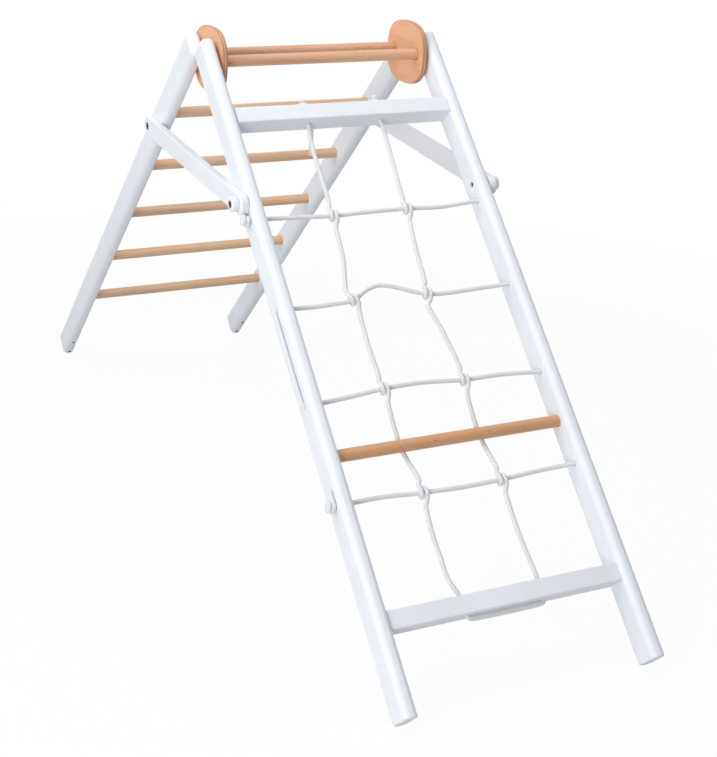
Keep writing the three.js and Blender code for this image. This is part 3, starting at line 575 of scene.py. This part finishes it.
def centripetal(points):
    """A centripetal Catmull-Rom curve through all the points. Between two points it is the cubic
    whose end slopes come from the chords, weighted by the square roots of their lengths; the
    ends are continued by mirroring. Sampled finely and as one array."""
    before = 2 * points[:1] - points[1:2]
    after = 2 * points[-1:] - points[-2:-1]
    p = np.concatenate([before, points, after])
    chord = np.linalg.norm(np.diff(p, axis=0), axis=1) ** 0.5
    a, b, c = chord[:-2, None], chord[1:-1, None], chord[2:, None]
    p0, p1, p2, p3 = p[:-3], p[1:-2], p[2:-1], p[3:]
    slope1 = ((p1 - p0) / a - (p2 - p0) / (a + b) + (p2 - p1) / b) * b
    slope2 = ((p2 - p1) / b - (p3 - p1) / (b + c) + (p3 - p2) / c) * b
    t = np.linspace(0, 1, CURVE_STEPS, endpoint=False)[None, :, None]
    p1, p2, slope1, slope2 = (v[:, None, :] for v in (p1, p2, slope1, slope2))
    cubic = 2 * p1 - 2 * p2 + slope1 + slope2
    square = 3 * p2 - 3 * p1 - 2 * slope1 - slope2
    curve = cubic * t**3 + square * t**2 + slope1 * t + p1
    return np.concatenate([curve.reshape(-1, 3), points[-1:]])


def evenly(curve, step):
    """Points at an even distance along a dense curve, and their distances from its start."""
    lengths = np.concatenate([[0], np.cumsum(np.linalg.norm(np.diff(curve, axis=0), axis=1))])
    count = max(2, round(lengths[-1] / step) + 1)
    at = np.linspace(0, lengths[-1], count)
    return np.stack([np.interp(at, lengths, curve[:, axis]) for axis in range(3)], -1), at


def ring_frames(path):
    """Two unit vectors across the path at each point, carried along it without twist."""
    tangent = np.gradient(path, axis=0)
    tangent /= np.linalg.norm(tangent, axis=1)[:, None]
    normal = np.cross(np.roll(tangent[0], 1), tangent[0])
    normals = np.empty_like(path)
    for index, way in enumerate(tangent):
        normal = normal - np.dot(normal, way) * way
        normal /= np.linalg.norm(normal)
        normals[index] = normal
    return normals, np.cross(tangent, normals)


def braided_rope(name, path_mm, sizes, material):
    """A braided rope along a path of the front frame in millimetres.

    The radius at a length u and a way round v is the rope's radius less the groove depth. Two
    families of strands wind opposite ways: one runs where n v + u / pitch is a whole number, the
    other where n v - u / pitch is. Each stands as a cosine hump, raised and lowered by the other
    family's cosine as it passes over and under, and the surface is the higher of the two. The
    ends draw in over their last rings as a sealed cut does."""
    curve = to_world(centripetal(path_mm))
    path, lengths = evenly(curve, sizes.ring_step)
    normals, sideways = ring_frames(path)
    around = np.linspace(0, 2 * np.pi, sizes.ring_points, endpoint=False)[None, :]
    wound = sizes.strands * around / (2 * np.pi)
    run = lengths[:, None] / sizes.braid_pitch
    first = np.cos(np.pi * (wound + run))
    second = np.cos(np.pi * (wound - run))
    over = STRAND_HEIGHT + STRAND_SWAY * np.sign(first) * second
    under = STRAND_HEIGHT - STRAND_SWAY * np.sign(second) * first
    height = np.maximum(np.abs(first) ** STRAND_CROWN * over, np.abs(second) ** STRAND_CROWN * under)
    seal = np.minimum(lengths, lengths[-1] - lengths)[:, None] / (SEALED_RINGS * sizes.ring_step)
    drawn_in = SEALED_SHARE + (1 - SEALED_SHARE) * np.clip(seal, 0, 1) ** 0.5
    radius = (sizes.rope_diameter / 2 - sizes.braid_relief * (1 - height)) * drawn_in
    around = around[..., None]
    offset = np.cos(around) * normals[:, None, :] + np.sin(around) * sideways[:, None, :]
    rings = path[:, None, :] + radius[..., None] * offset
    return tube(name, rings, lengths, material)


# The rope's route, in millimetres of the front frame

WRAP_RADIUS = 8.6
ROPE_SEAT = 5.1
STOPPER_END = 4
FIT_CLEARANCE = 0.3
FIRST_ROW_PLACE = 387.5
ROW_PITCH = 203.3
ROW_OUTWARD = 5
UPPER_CROSSBAR_PLACE = 151.5
UPPER_CROSSBAR_OUTWARD = 4
UPPER_CROSSBAR_HEIGHT = 37
UPPER_CROSSBAR_DEPTH = 46
LOWER_CROSSBAR_PLACE = 1227
LOWER_CROSSBAR_OUTWARD = -1
LOWER_CROSSBAR_HEIGHT = 36.6
CROSSBAR_EDGE_RADIUS = 3
CROSSBAR_HOLE_OFFSET = 85
ROPE_BEND_RADIUS = 6
LOWER_LOOP_SLACK = 1.2
LOWER_LOOP_RADIUS = 12
KNOT_HALF_PITCH = 5.4
KNOT_LEAD = 26
KNOT_SIDE_LEAD = 13
KNOT_ARM = 12
STOPPER_STUB = 10
STOPPER_RISE = 10
STOPPER_TOP = 15
STOPPER_TURN = math.radians(400)
ROW_TAIL_LENGTH = 24
TAIL_BEND_RADIUS = 14

BEND_STEPS = 4
STOPPER_STEPS = 18
FOLD_STEPS = 6
TURN_STEPS = 12
LEAD_STEPS = 4
TAIL_STEPS = 5

# Each row's points as (across, below its holes): on the way from the left rail, its two
# crossings, between them and on the way to the right rail
ROW_ROUTES = [
    {"left": [(-188, -0.5)], "crossings": [(-95, 3.2), (77.6, 1.5)],
     "middle": [(-7, 1.5)], "right": [(158, 4.5)]},
    {"left": [(-194, -0.8), (-150, -2.3)], "crossings": [(-110.6, -6.8), (57, -1.8)],
     "middle": [(-76, -23.8), (-46, -31.8), (-18, -27.3), (12.5, -15.8)], "right": [(105, 2.2), (160, 0.2)]},
    {"left": [(-179, -6.6)], "crossings": [(-105.5, -13.1), (73, -8.1)],
     "middle": [(-23, -15.1)], "right": [(159, -8.1)]},
    {"left": [(-182, -2.4)], "crossings": [(-94, 2.6), (80, 4.2)],
     "middle": [(-12, 5.6)], "right": [(172, -0.4)]},
]

# Each upright's points before, between and after its crossings, as (across, down, outwards)
UPRIGHT_ROUTES = [
    [
        [(-88, 199), (-91, 232), (-92, 275), (-92, 311), (-93, 348)],
        [(-102, 490)],
        [(-108, 682)],
        [(-99, 902, -17.1)],
        [(-101, 1095), (-99.5, 1131), (-100, 1150), (-99, 1168), (-93, 1188)],
    ],
    [
        [(88, 196), (85, 245), (81.5, 296), (78, 345)],
        [(67, 490)],
        [(65, 682)],
        [(77, 902, -17.1)],
        [(79, 1127), (82, 1165), (84, 1190)],
    ],
]

# The way in which each free end leaves its knot, and how far it hangs down
LEFT_TAIL = {"leaving_angle": math.radians(37), "drop": 84}
RIGHT_TAIL = {"leaving_angle": math.radians(27), "drop": 30}

OUT_OF_LEFT = on_front(-1, 0)
OUT_OF_RIGHT = on_front(1, 0)
DOWN = on_front(0, 1)


def smoothstep(value, low, high):
    """0 up to low and 1 from high on, with an even slope between."""
    share = np.clip((value - low) / (high - low), 0, 1)
    return share * share * (3 - 2 * share)


def turned(points, axis, angle):
    """Vectors turned about a unit axis by the right-hand rule, by Rodrigues' formula; a list of
    angles gives one vector for each."""
    angle = np.asarray(angle)[..., None]
    cosine, sine = np.cos(angle), np.sin(angle)
    return points * cosine + np.cross(axis, points) * sine + axis * (points @ axis)[..., None] * (1 - cosine)


def bend(corner, way_in, way_out, radius):
    """A quarter bend from one straight way into another at right angles to it."""
    angle = np.linspace(0, np.pi / 2, BEND_STEPS + 1)[:, None]
    return corner - way_in * radius * (1 - np.sin(angle)) + way_out * radius * (1 - np.cos(angle))


def stopper(hole, axis, leaving):
    """A stopper knot: a stub out of the hole, a fold as one Bezier cubic, and a helix about the
    stub that sinks steadily to the surface and leaves along it."""
    start = turned(np.cross(leaving, axis), axis, -STOPPER_TURN)
    along = np.cross(axis, start)
    rise = STOPPER_TOP + STOPPER_RISE / 4
    handles = [
        hole + axis * STOPPER_STUB,
        hole + axis * (STOPPER_STUB + STOPPER_RISE),
        hole + start * WRAP_RADIUS + axis * rise - along * WRAP_RADIUS,
        hole + start * WRAP_RADIUS + axis * STOPPER_TOP,
    ]
    t = np.linspace(0, 1, FOLD_STEPS + 1)[:, None]
    weights = [(1 - t) ** 3, 3 * t * (1 - t) ** 2, 3 * t**2 * (1 - t), t**3]
    fold = sum(weight * handle for weight, handle in zip(weights, handles))
    share = np.linspace(0, 1, STOPPER_STEPS + 1)[1:]
    radial = turned(np.tile(start, (STOPPER_STEPS, 1)), axis, STOPPER_TURN * share)
    height = STOPPER_TOP + (ROPE_SEAT - STOPPER_TOP) * share[:, None]
    helix = hole + radial * WRAP_RADIUS + axis * height
    return np.concatenate([fold, helix, helix[-1:] + leaving * STOPPER_END])


def row_place(row):
    """How far down the leg a row's holes are."""
    return FIRST_ROW_PLACE + row * ROW_PITCH


def crossing(row, side):
    """Where an upright rope crosses a row, and the row's tilt there."""
    route = ROW_ROUTES[row]
    across, drop = route["crossings"][side]
    before = (route["middle"] if side else route["left"])[-1]
    after = (route["right"] if side else route["middle"])[0]
    tilt = math.atan2(after[1] - before[1], after[0] - before[0])
    return on_front(across, row_place(row) + drop), tilt


def round_turn(row, side):
    """The upright rope at a crossing: it eases outwards, makes one turn about the row as a
    helix, and eases back in."""
    centre, tilt = crossing(row, side)
    down = -KNOT_LEAD * (1 - np.arange(LEAD_STEPS) / LEAD_STEPS)
    lead = np.stack([
        -KNOT_HALF_PITCH * smoothstep(down, -KNOT_LEAD, -KNOT_SIDE_LEAD),
        WRAP_RADIUS * smoothstep(down, -KNOT_LEAD, 0),
        down,
    ], -1)
    share = np.linspace(0, 1, TURN_STEPS + 1)
    angle = 2 * np.pi * share
    turn = np.stack([
        KNOT_HALF_PITCH * (2 * share - 1),
        WRAP_RADIUS * np.cos(angle),
        WRAP_RADIUS * np.sin(angle),
    ], -1)
    tail = (lead * [-1, 1, -1])[::-1]
    points = np.concatenate([lead, turn, tail])
    return turned(points, on_front(0, 0, 1), np.full(len(points), -tilt)) + centre


def row_points(row):
    """A row of the net from the left hole to the right hole."""
    route = ROW_ROUTES[row]
    place = row_place(row)

    def free(points):
        return np.array([on_front(across, place + drop) for across, drop in points])

    def knot(side):
        centre, tilt = crossing(row, side)
        arm = on_front(KNOT_ARM * math.cos(tilt), KNOT_ARM * math.sin(tilt))
        return np.array([centre - arm, centre, centre + arm])

    return np.concatenate([
        [on_front(-MIDDLE_OF_RAIL, place, ROW_OUTWARD), on_front(-INNER_FACE, place, ROW_OUTWARD)],
        free(route["left"]),
        knot(0),
        free(route["middle"]),
        knot(1),
        free(route["right"]),
        [on_front(INNER_FACE, place, ROW_OUTWARD), on_front(MIDDLE_OF_RAIL, place, ROW_OUTWARD)],
    ])


def outer_run(out, row):
    """The rope's way along the outside of a rail, from one row's hole to the next."""
    line = out * (OUTER_FACE + ROPE_SEAT) + on_front(0, 0, ROW_OUTWARD)
    return np.concatenate([
        bend(line + DOWN * row_place(row), out, DOWN, ROPE_BEND_RADIUS),
        bend(line + DOWN * row_place(row + 1), DOWN, -out, ROPE_BEND_RADIUS),
    ])


def rope_across_route():
    """Knotted on the left rail, to and fro through both rails, knotted on the left rail."""
    last_row = len(ROW_ROUTES) - 1
    face = OUT_OF_LEFT * OUTER_FACE + on_front(0, 0, ROW_OUTWARD)
    parts = [stopper(face + DOWN * row_place(0), OUT_OF_LEFT, -DOWN)[::-1]]
    for row in range(last_row + 1):
        forward = row % 2 == 0
        parts.append(row_points(row)[:: 1 if forward else -1])
        if row < last_row:
            parts.append(outer_run(OUT_OF_RIGHT if forward else OUT_OF_LEFT, row))
    last_knot = stopper(face + DOWN * row_place(last_row), OUT_OF_LEFT, -DOWN)
    return np.concatenate([*parts, last_knot, last_knot[-1:] - DOWN * ROW_TAIL_LENGTH])


def crossbar_hole(side, down, outward):
    """A place on the axis of a crossbar's left or right rope hole."""
    return on_front(CROSSBAR_HOLE_OFFSET if side else -CROSSBAR_HOLE_OFFSET, down, outward)


def upper_hole(side, end):
    """The mouth of a rope hole in the upper crossbar, on its top for -1 and below for 1."""
    down = UPPER_CROSSBAR_PLACE + end * UPPER_CROSSBAR_HEIGHT / 2
    return crossbar_hole(side, down, UPPER_CROSSBAR_OUTWARD)


def upright_points(side):
    """One upright, from the top of the upper crossbar's hole to the lower crossbar's hole."""
    parts = [np.array([upper_hole(side, -1), upper_hole(side, 1)])]
    for row, route in enumerate(UPRIGHT_ROUTES[side]):
        parts.append(np.array([on_front(*point) for point in route]))
        if row < len(ROW_ROUTES):
            parts.append(round_turn(row, side))
    lower_top = LOWER_CROSSBAR_PLACE - LOWER_CROSSBAR_HEIGHT / 2
    parts.append(crossbar_hole(side, lower_top, LOWER_CROSSBAR_OUTWARD)[None])
    return np.concatenate(parts)


def leaving_way(tail):
    """The way in which a free end leaves its knot, over the crossbar towards its rear."""
    return np.array([math.sin(tail["leaving_angle"]), -math.cos(tail["leaving_angle"]), 0.0])


def upright_stopper(side, tail):
    """The stopper knot on the upper crossbar."""
    return stopper(upper_hole(side, -1), -DOWN, leaving_way(tail))


def rope_upright_route():
    """Knotted on the upper crossbar, down, under the lower crossbar, up, and knotted again."""
    loop_line = LOWER_CROSSBAR_PLACE + LOWER_CROSSBAR_HEIGHT / 2 + ROPE_SEAT + LOWER_LOOP_SLACK
    left_corner, right_corner = (crossbar_hole(side, loop_line, LOWER_CROSSBAR_OUTWARD) for side in (0, 1))
    return np.concatenate([
        upright_stopper(0, LEFT_TAIL)[::-1],
        upright_points(0),
        bend(left_corner, DOWN, OUT_OF_RIGHT, LOWER_LOOP_RADIUS),
        bend(right_corner, OUT_OF_RIGHT, -DOWN, LOWER_LOOP_RADIUS),
        upright_points(1)[::-1],
        upright_stopper(1, RIGHT_TAIL),
    ])


def tail_route(side, tail):
    """A free end: over the crossbar's rear edge as an arc, and straight down from there."""
    way = leaving_way(tail)
    fall = np.array([0.0, -math.sin(FRONT_LEAN), math.cos(FRONT_LEAN)])
    start = upright_stopper(side, tail)[-1] + way * FIT_CLEARANCE
    edge = UPPER_CROSSBAR_DEPTH / 2 - CROSSBAR_EDGE_RADIUS - UPPER_CROSSBAR_OUTWARD
    run = (edge + start[1]) / math.cos(tail["leaving_angle"])
    angle = math.acos(way @ fall)
    toward = fall - way * (way @ fall)
    toward /= np.linalg.norm(toward)
    share = np.arange(TAIL_STEPS)[:, None] / TAIL_STEPS
    straight = start + way * run * share
    at = angle * np.linspace(0, 1, TAIL_STEPS + 1)[:, None]
    arc = start + way * (run + TAIL_BEND_RADIUS * np.sin(at)) + toward * TAIL_BEND_RADIUS * (1 - np.cos(at))
    drop = arc[-1] + fall * tail["drop"] * np.linspace(0, 1, TAIL_STEPS + 1)[1:, None]
    return np.concatenate([straight, arc, drop])


# Operators

class ClimbingFrameOperator:
    """What the operators share."""

    bl_options = {"REGISTER", "UNDO"}


def rope_piece(scene, name, node, route):
    """A rope along a route, which stands for a CAD node. The finish is made with the first one."""
    sizes, colours = scene.climbing_frame_sizes, scene.climbing_frame_colours
    finish = bpy.data.materials.get("braided_rope")
    finish = finish or rope_finish("braided_rope", colours.rope, colours.rope_groove_shade, sizes)
    piece = braided_rope(name, route, sizes, finish)
    stand_for(piece, node, "front_frame")
    return piece


class CLIMBING_OT_camera(ClimbingFrameOperator, bpy.types.Operator):
    """Set up the camera where the photographer stood"""

    bl_idname = "climbing.camera"
    bl_label = "Camera"

    def execute(self, context):
        camera = placed("camera", bpy.data.cameras.new("camera"))
        back = -Vector(CAMERA_FORWARD)
        up = Vector(CAMERA_UP)
        right = up.cross(back)
        turn = Matrix((right, up, back)).transposed()
        camera.matrix_world = Matrix.Translation(CAMERA_PLACE) @ turn.to_4x4()
        camera.data.sensor_width = SENSOR_WIDTH
        camera.data.lens = CAMERA_LENS
        camera.data.shift_x, camera.data.shift_y = CAMERA_SHIFT
        camera.data.clip_start = CAMERA_NEAR
        camera.data.clip_end = CAMERA_FAR
        context.scene.camera = camera
        return {"FINISHED"}


class CLIMBING_OT_rope_tails(ClimbingFrameOperator, bpy.types.Operator):
    """Hang the two free ends of the upright rope"""

    bl_idname = "climbing.rope_tails"
    bl_label = "Rope Tails"

    def execute(self, context):
        for word, side, tail in (("left", 0, LEFT_TAIL), ("right", 1, RIGHT_TAIL)):
            route = tail_route(side, tail)
            piece = rope_piece(context.scene, f"rope_end_{word}", f"rope_tail_{word}", route)
        return {"FINISHED"}


class CLIMBING_OT_net(ClimbingFrameOperator, bpy.types.Operator):
    """Knot the two ropes of the net"""

    bl_idname = "climbing.net"
    bl_label = "Rope Net"

    def execute(self, context):
        routes = {"net_rope_across": rope_across_route(), "net_rope_upright": rope_upright_route()}
        for node, route in routes.items():
            rope_piece(context.scene, node + "_braided", node, route)
        return {"FINISHED"}


class CLIMBING_OT_white_wood(ClimbingFrameOperator, bpy.types.Operator):
    """Lacquer the rails, the crossbars and the stays"""

    bl_idname = "climbing.white_wood"
    bl_label = "White Wood"

    def execute(self, context):
        colours = context.scene.climbing_frame_colours
        front_wood, rear_wood, bar_wood, stay_wood = (
            lacquer_finish(f"lacquer_{part}", colours.lacquer, colours.painted_hole_shade, turn)
            for part, turn in GRAIN_TURNS.items())
        for word, side in (("left", -1), ("right", 1)):
            front = RailOutline(side, FRONT_HINGE, FRONT_DOWN)
            rear = RailOutline(side, REAR_HINGE, REAR_DOWN)
            dressed(f"front_rail_{word}", front_wood, "front_frame", outline=front)
            rail = dressed(f"rear_rail_{word}", rear_wood, "rear_frame", outline=rear)
            rear.mark_foot_holes(rail.data)
            dressed(f"stay_{word}", stay_wood, f"stay_{word}")
        for word in ("upper", "lower"):
            dressed(f"{word}_crossbar", bar_wood, "front_frame")
        return {"FINISHED"}


class CLIMBING_OT_beech(ClimbingFrameOperator, bpy.types.Operator):
    """Finish the hinge bars and the rungs in beech"""

    bl_idname = "climbing.beech"
    bl_label = "Beech Bars and Rungs"

    def execute(self, context):
        colours = context.scene.climbing_frame_colours
        hinge_wood, front_wood, rear_wood = (
            beech_finish(name, getattr(colours, name), colours.beech_streak)
            for name in ("beech", "warm_beech", "pale_beech"))
        dressed("rear_hinge_bar", hinge_wood, "rear_frame")
        dressed("front_hinge_bar", hinge_wood, "front_frame")
        dressed("front_rung", front_wood, "front_frame")
        for node in frame["nodes"]:
            if node.startswith("rear_rung"):
                dressed(node, rear_wood, "rear_frame")
        return {"FINISHED"}


class CLIMBING_OT_plates(ClimbingFrameOperator, bpy.types.Operator):
    """Finish the hinge plates in plywood"""

    bl_idname = "climbing.plates"
    bl_label = "Hinge Plates"

    def execute(self, context):
        colours = context.scene.climbing_frame_colours
        low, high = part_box("hinge_plate_right")
        wood = plywood_finish("plywood", colours.veneer, colours.dark_ply, low.x, high.x - low.x)
        for word in ("left", "right"):
            dressed(f"hinge_plate_{word}", wood, "hinge_plates")
        return {"FINISHED"}


class CLIMBING_OT_fittings(ClimbingFrameOperator, bpy.types.Operator):
    """Finish the bolts in black steel and the knobs in white plastic"""

    bl_idname = "climbing.fittings"
    bl_label = "Bolts and Knobs"

    def execute(self, context):
        colours = context.scene.climbing_frame_colours
        steel = steel_finish("black_steel", colours.steel, colours.worn_steel)
        plastic = knob_finish("knob_plastic", colours.knob)
        for word in ("left", "right"):
            dressed(f"rear_stay_bolt_{word}", steel, "rear_frame", BOLT_SMOOTH_ANGLE)
            dressed(f"front_bolt_{word}", steel, "front_frame", BOLT_SMOOTH_ANGLE)
            dressed(f"knob_{word}", plastic, "front_frame")
        return {"FINISHED"}


def seen_directly(graph):
    """A mask of the rays that see the background straight, mirrored or through something."""
    rays = graph.node("LightPath").outputs
    seen = rays["Is Camera Ray"]
    for ray in ("Is Glossy Ray", "Is Transmission Ray"):
        seen = graph.math("MAXIMUM", seen, rays[ray])
    return seen


def shown_white(graph, share, white):
    """Mixes a white shader over a graph's first one, by a share."""
    mix = graph.node("MixShader")
    for socket, source in zip(mix.inputs, (share, graph.shader.outputs[0], white.outputs[0])):
        graph.feed(socket, source)
    graph.feed(graph.output.inputs["Surface"], mix.outputs[0])


def studio_world(scene):
    """A world that lights evenly and shows as white."""
    graph = Graph("studio", "worlds")
    graph.set(Color=WORLD_COLOUR, Strength=WORLD_STRENGTH)
    shown_white(graph, seen_directly(graph), graph.node("Background", Color=(1, 1, 1, 1)))
    scene.world = graph.owner


def studio_floor():
    """A wide grey floor that shows as white far from the object and keeps a soft shadow near it."""
    half = FLOOR_SIZE / 2
    data = bpy.data.meshes.new("floor")
    corners = [(-half, -half, 0), (half, -half, 0), (half, half, 0), (-half, half, 0)]
    data.from_pydata(corners, [], [(0, 1, 2, 3)])
    floor = placed("floor", data)
    graph = Graph("pale_floor")
    seen = seen_directly(graph)
    graph.set(Base_Color=graph.blend(seen, FLOOR_COLOUR, FLOOR_SEEN_COLOUR), Roughness=0.9)
    white = graph.node("Emission", Color=(1, 1, 1, 1))
    distance = graph.node("VectorMath", {"operation": "LENGTH"}, Vector=graph.coords())
    share = graph.remap(distance.outputs["Value"], SHADOW_REACH, BACKDROP_START, FLOOR_WHITE_SHARE, 1.0)
    shown_white(graph, graph.math("MULTIPLY", seen, share), white)
    data.materials.append(graph.owner)


def area_light(name, place, size, power):
    """A square lamp that looks at the middle of the object."""
    lamp = bpy.data.lights.new(name, "AREA")
    lamp.size = size
    lamp.energy = power
    holder = placed(name, lamp)
    holder.location = place
    holder.rotation_mode = "QUATERNION"
    holder.rotation_quaternion = (Vector(LAMP_TARGET) - Vector(place)).to_track_quat("-Z", "Y")


class CLIMBING_OT_stage(ClimbingFrameOperator, bpy.types.Operator):
    """Lay the floor and hang the studio lights"""

    bl_idname = "climbing.stage"
    bl_label = "Studio"

    def execute(self, context):
        scene = context.scene
        scene.view_settings.view_transform = "Standard"
        studio_world(scene)
        studio_floor()
        for name, place, size, power in LAMPS:
            area_light(name, place, size, power)
        return {"FINISHED"}


class CLIMBING_PT_panel(bpy.types.Panel):
    """The sidebar panel that lists the operators"""

    bl_idname = "CLIMBING_PT_panel"
    bl_label = "Climbing Frame"
    bl_space_type = "VIEW_3D"
    bl_region_type = "UI"
    bl_category = "Climbing Frame"

    def draw(self, context):
        for operator in OPERATORS:
            self.layout.operator(operator.bl_idname)


# Camera: solved from the photograph together with the frame's main points
CAMERA_PLACE = (-1.4115, -3.0158, 1.5173)
CAMERA_FORWARD = (0.4144, 0.8563, -0.3082)
CAMERA_UP = (0.1034, 0.2921, 0.9508)
CAMERA_SHIFT = (0.0523, -0.0979)
CAMERA_LENS = 71.25
CAMERA_NEAR = 0.05
CAMERA_FAR = 100
SENSOR_WIDTH = 36.0

WORLD_COLOUR = (0.93, 0.96, 1.0, 1)
WORLD_STRENGTH = 0.36
FLOOR_SIZE = 60.0
FLOOR_COLOUR = (0.62, 0.62, 0.62)
FLOOR_SEEN_COLOUR = (0.95, 0.95, 0.95)
FLOOR_WHITE_SHARE = 0.93
SHADOW_REACH = 1.5
BACKDROP_START = 2.8
LAMP_TARGET = (0.0, -0.1, 0.5)

# Each lamp's name, place, side in metres and power in watts
LAMPS = (
    ("key_light", (-3.2, -3.2, 1.0), 2.0, 65.0),
    ("side_light", (-3.0, -1.5, 2.4), 2.0, 15.0),
    ("high_side_light", (-3.0, 0.6, 3.6), 2.5, 37.0),
    ("far_side_light", (-6.0, -1.0, 2.5), 2.5, 16.0),
    ("top_light", (0.0, -0.2, 3.4), 2.5, 39.0),
)

OPERATORS = (
    CLIMBING_OT_camera,
    CLIMBING_OT_rope_tails,
    CLIMBING_OT_net,
    CLIMBING_OT_white_wood,
    CLIMBING_OT_beech,
    CLIMBING_OT_plates,
    CLIMBING_OT_fittings,
    CLIMBING_OT_stage,
)
CLASSES = (ClimbingFrameSizes, ClimbingFrameColours, *OPERATORS, CLIMBING_PT_panel)


def register():
    """Registers the classes and gives every scene the settings."""
    for each in CLASSES:
        bpy.utils.register_class(each)
    bpy.types.Scene.climbing_frame_sizes = bpy.props.PointerProperty(type=ClimbingFrameSizes)
    bpy.types.Scene.climbing_frame_colours = bpy.props.PointerProperty(type=ClimbingFrameColours)


def unregister():
    """Takes them out again, last first."""
    del bpy.types.Scene.climbing_frame_colours
    del bpy.types.Scene.climbing_frame_sizes
    for each in reversed(CLASSES):
        bpy.utils.unregister_class(each)


def main():
    register()
    for operator in OPERATORS:
        category, name = operator.bl_idname.split(".")
        getattr(getattr(bpy.ops, category), name)()


if __name__ == "__main__":
    main()
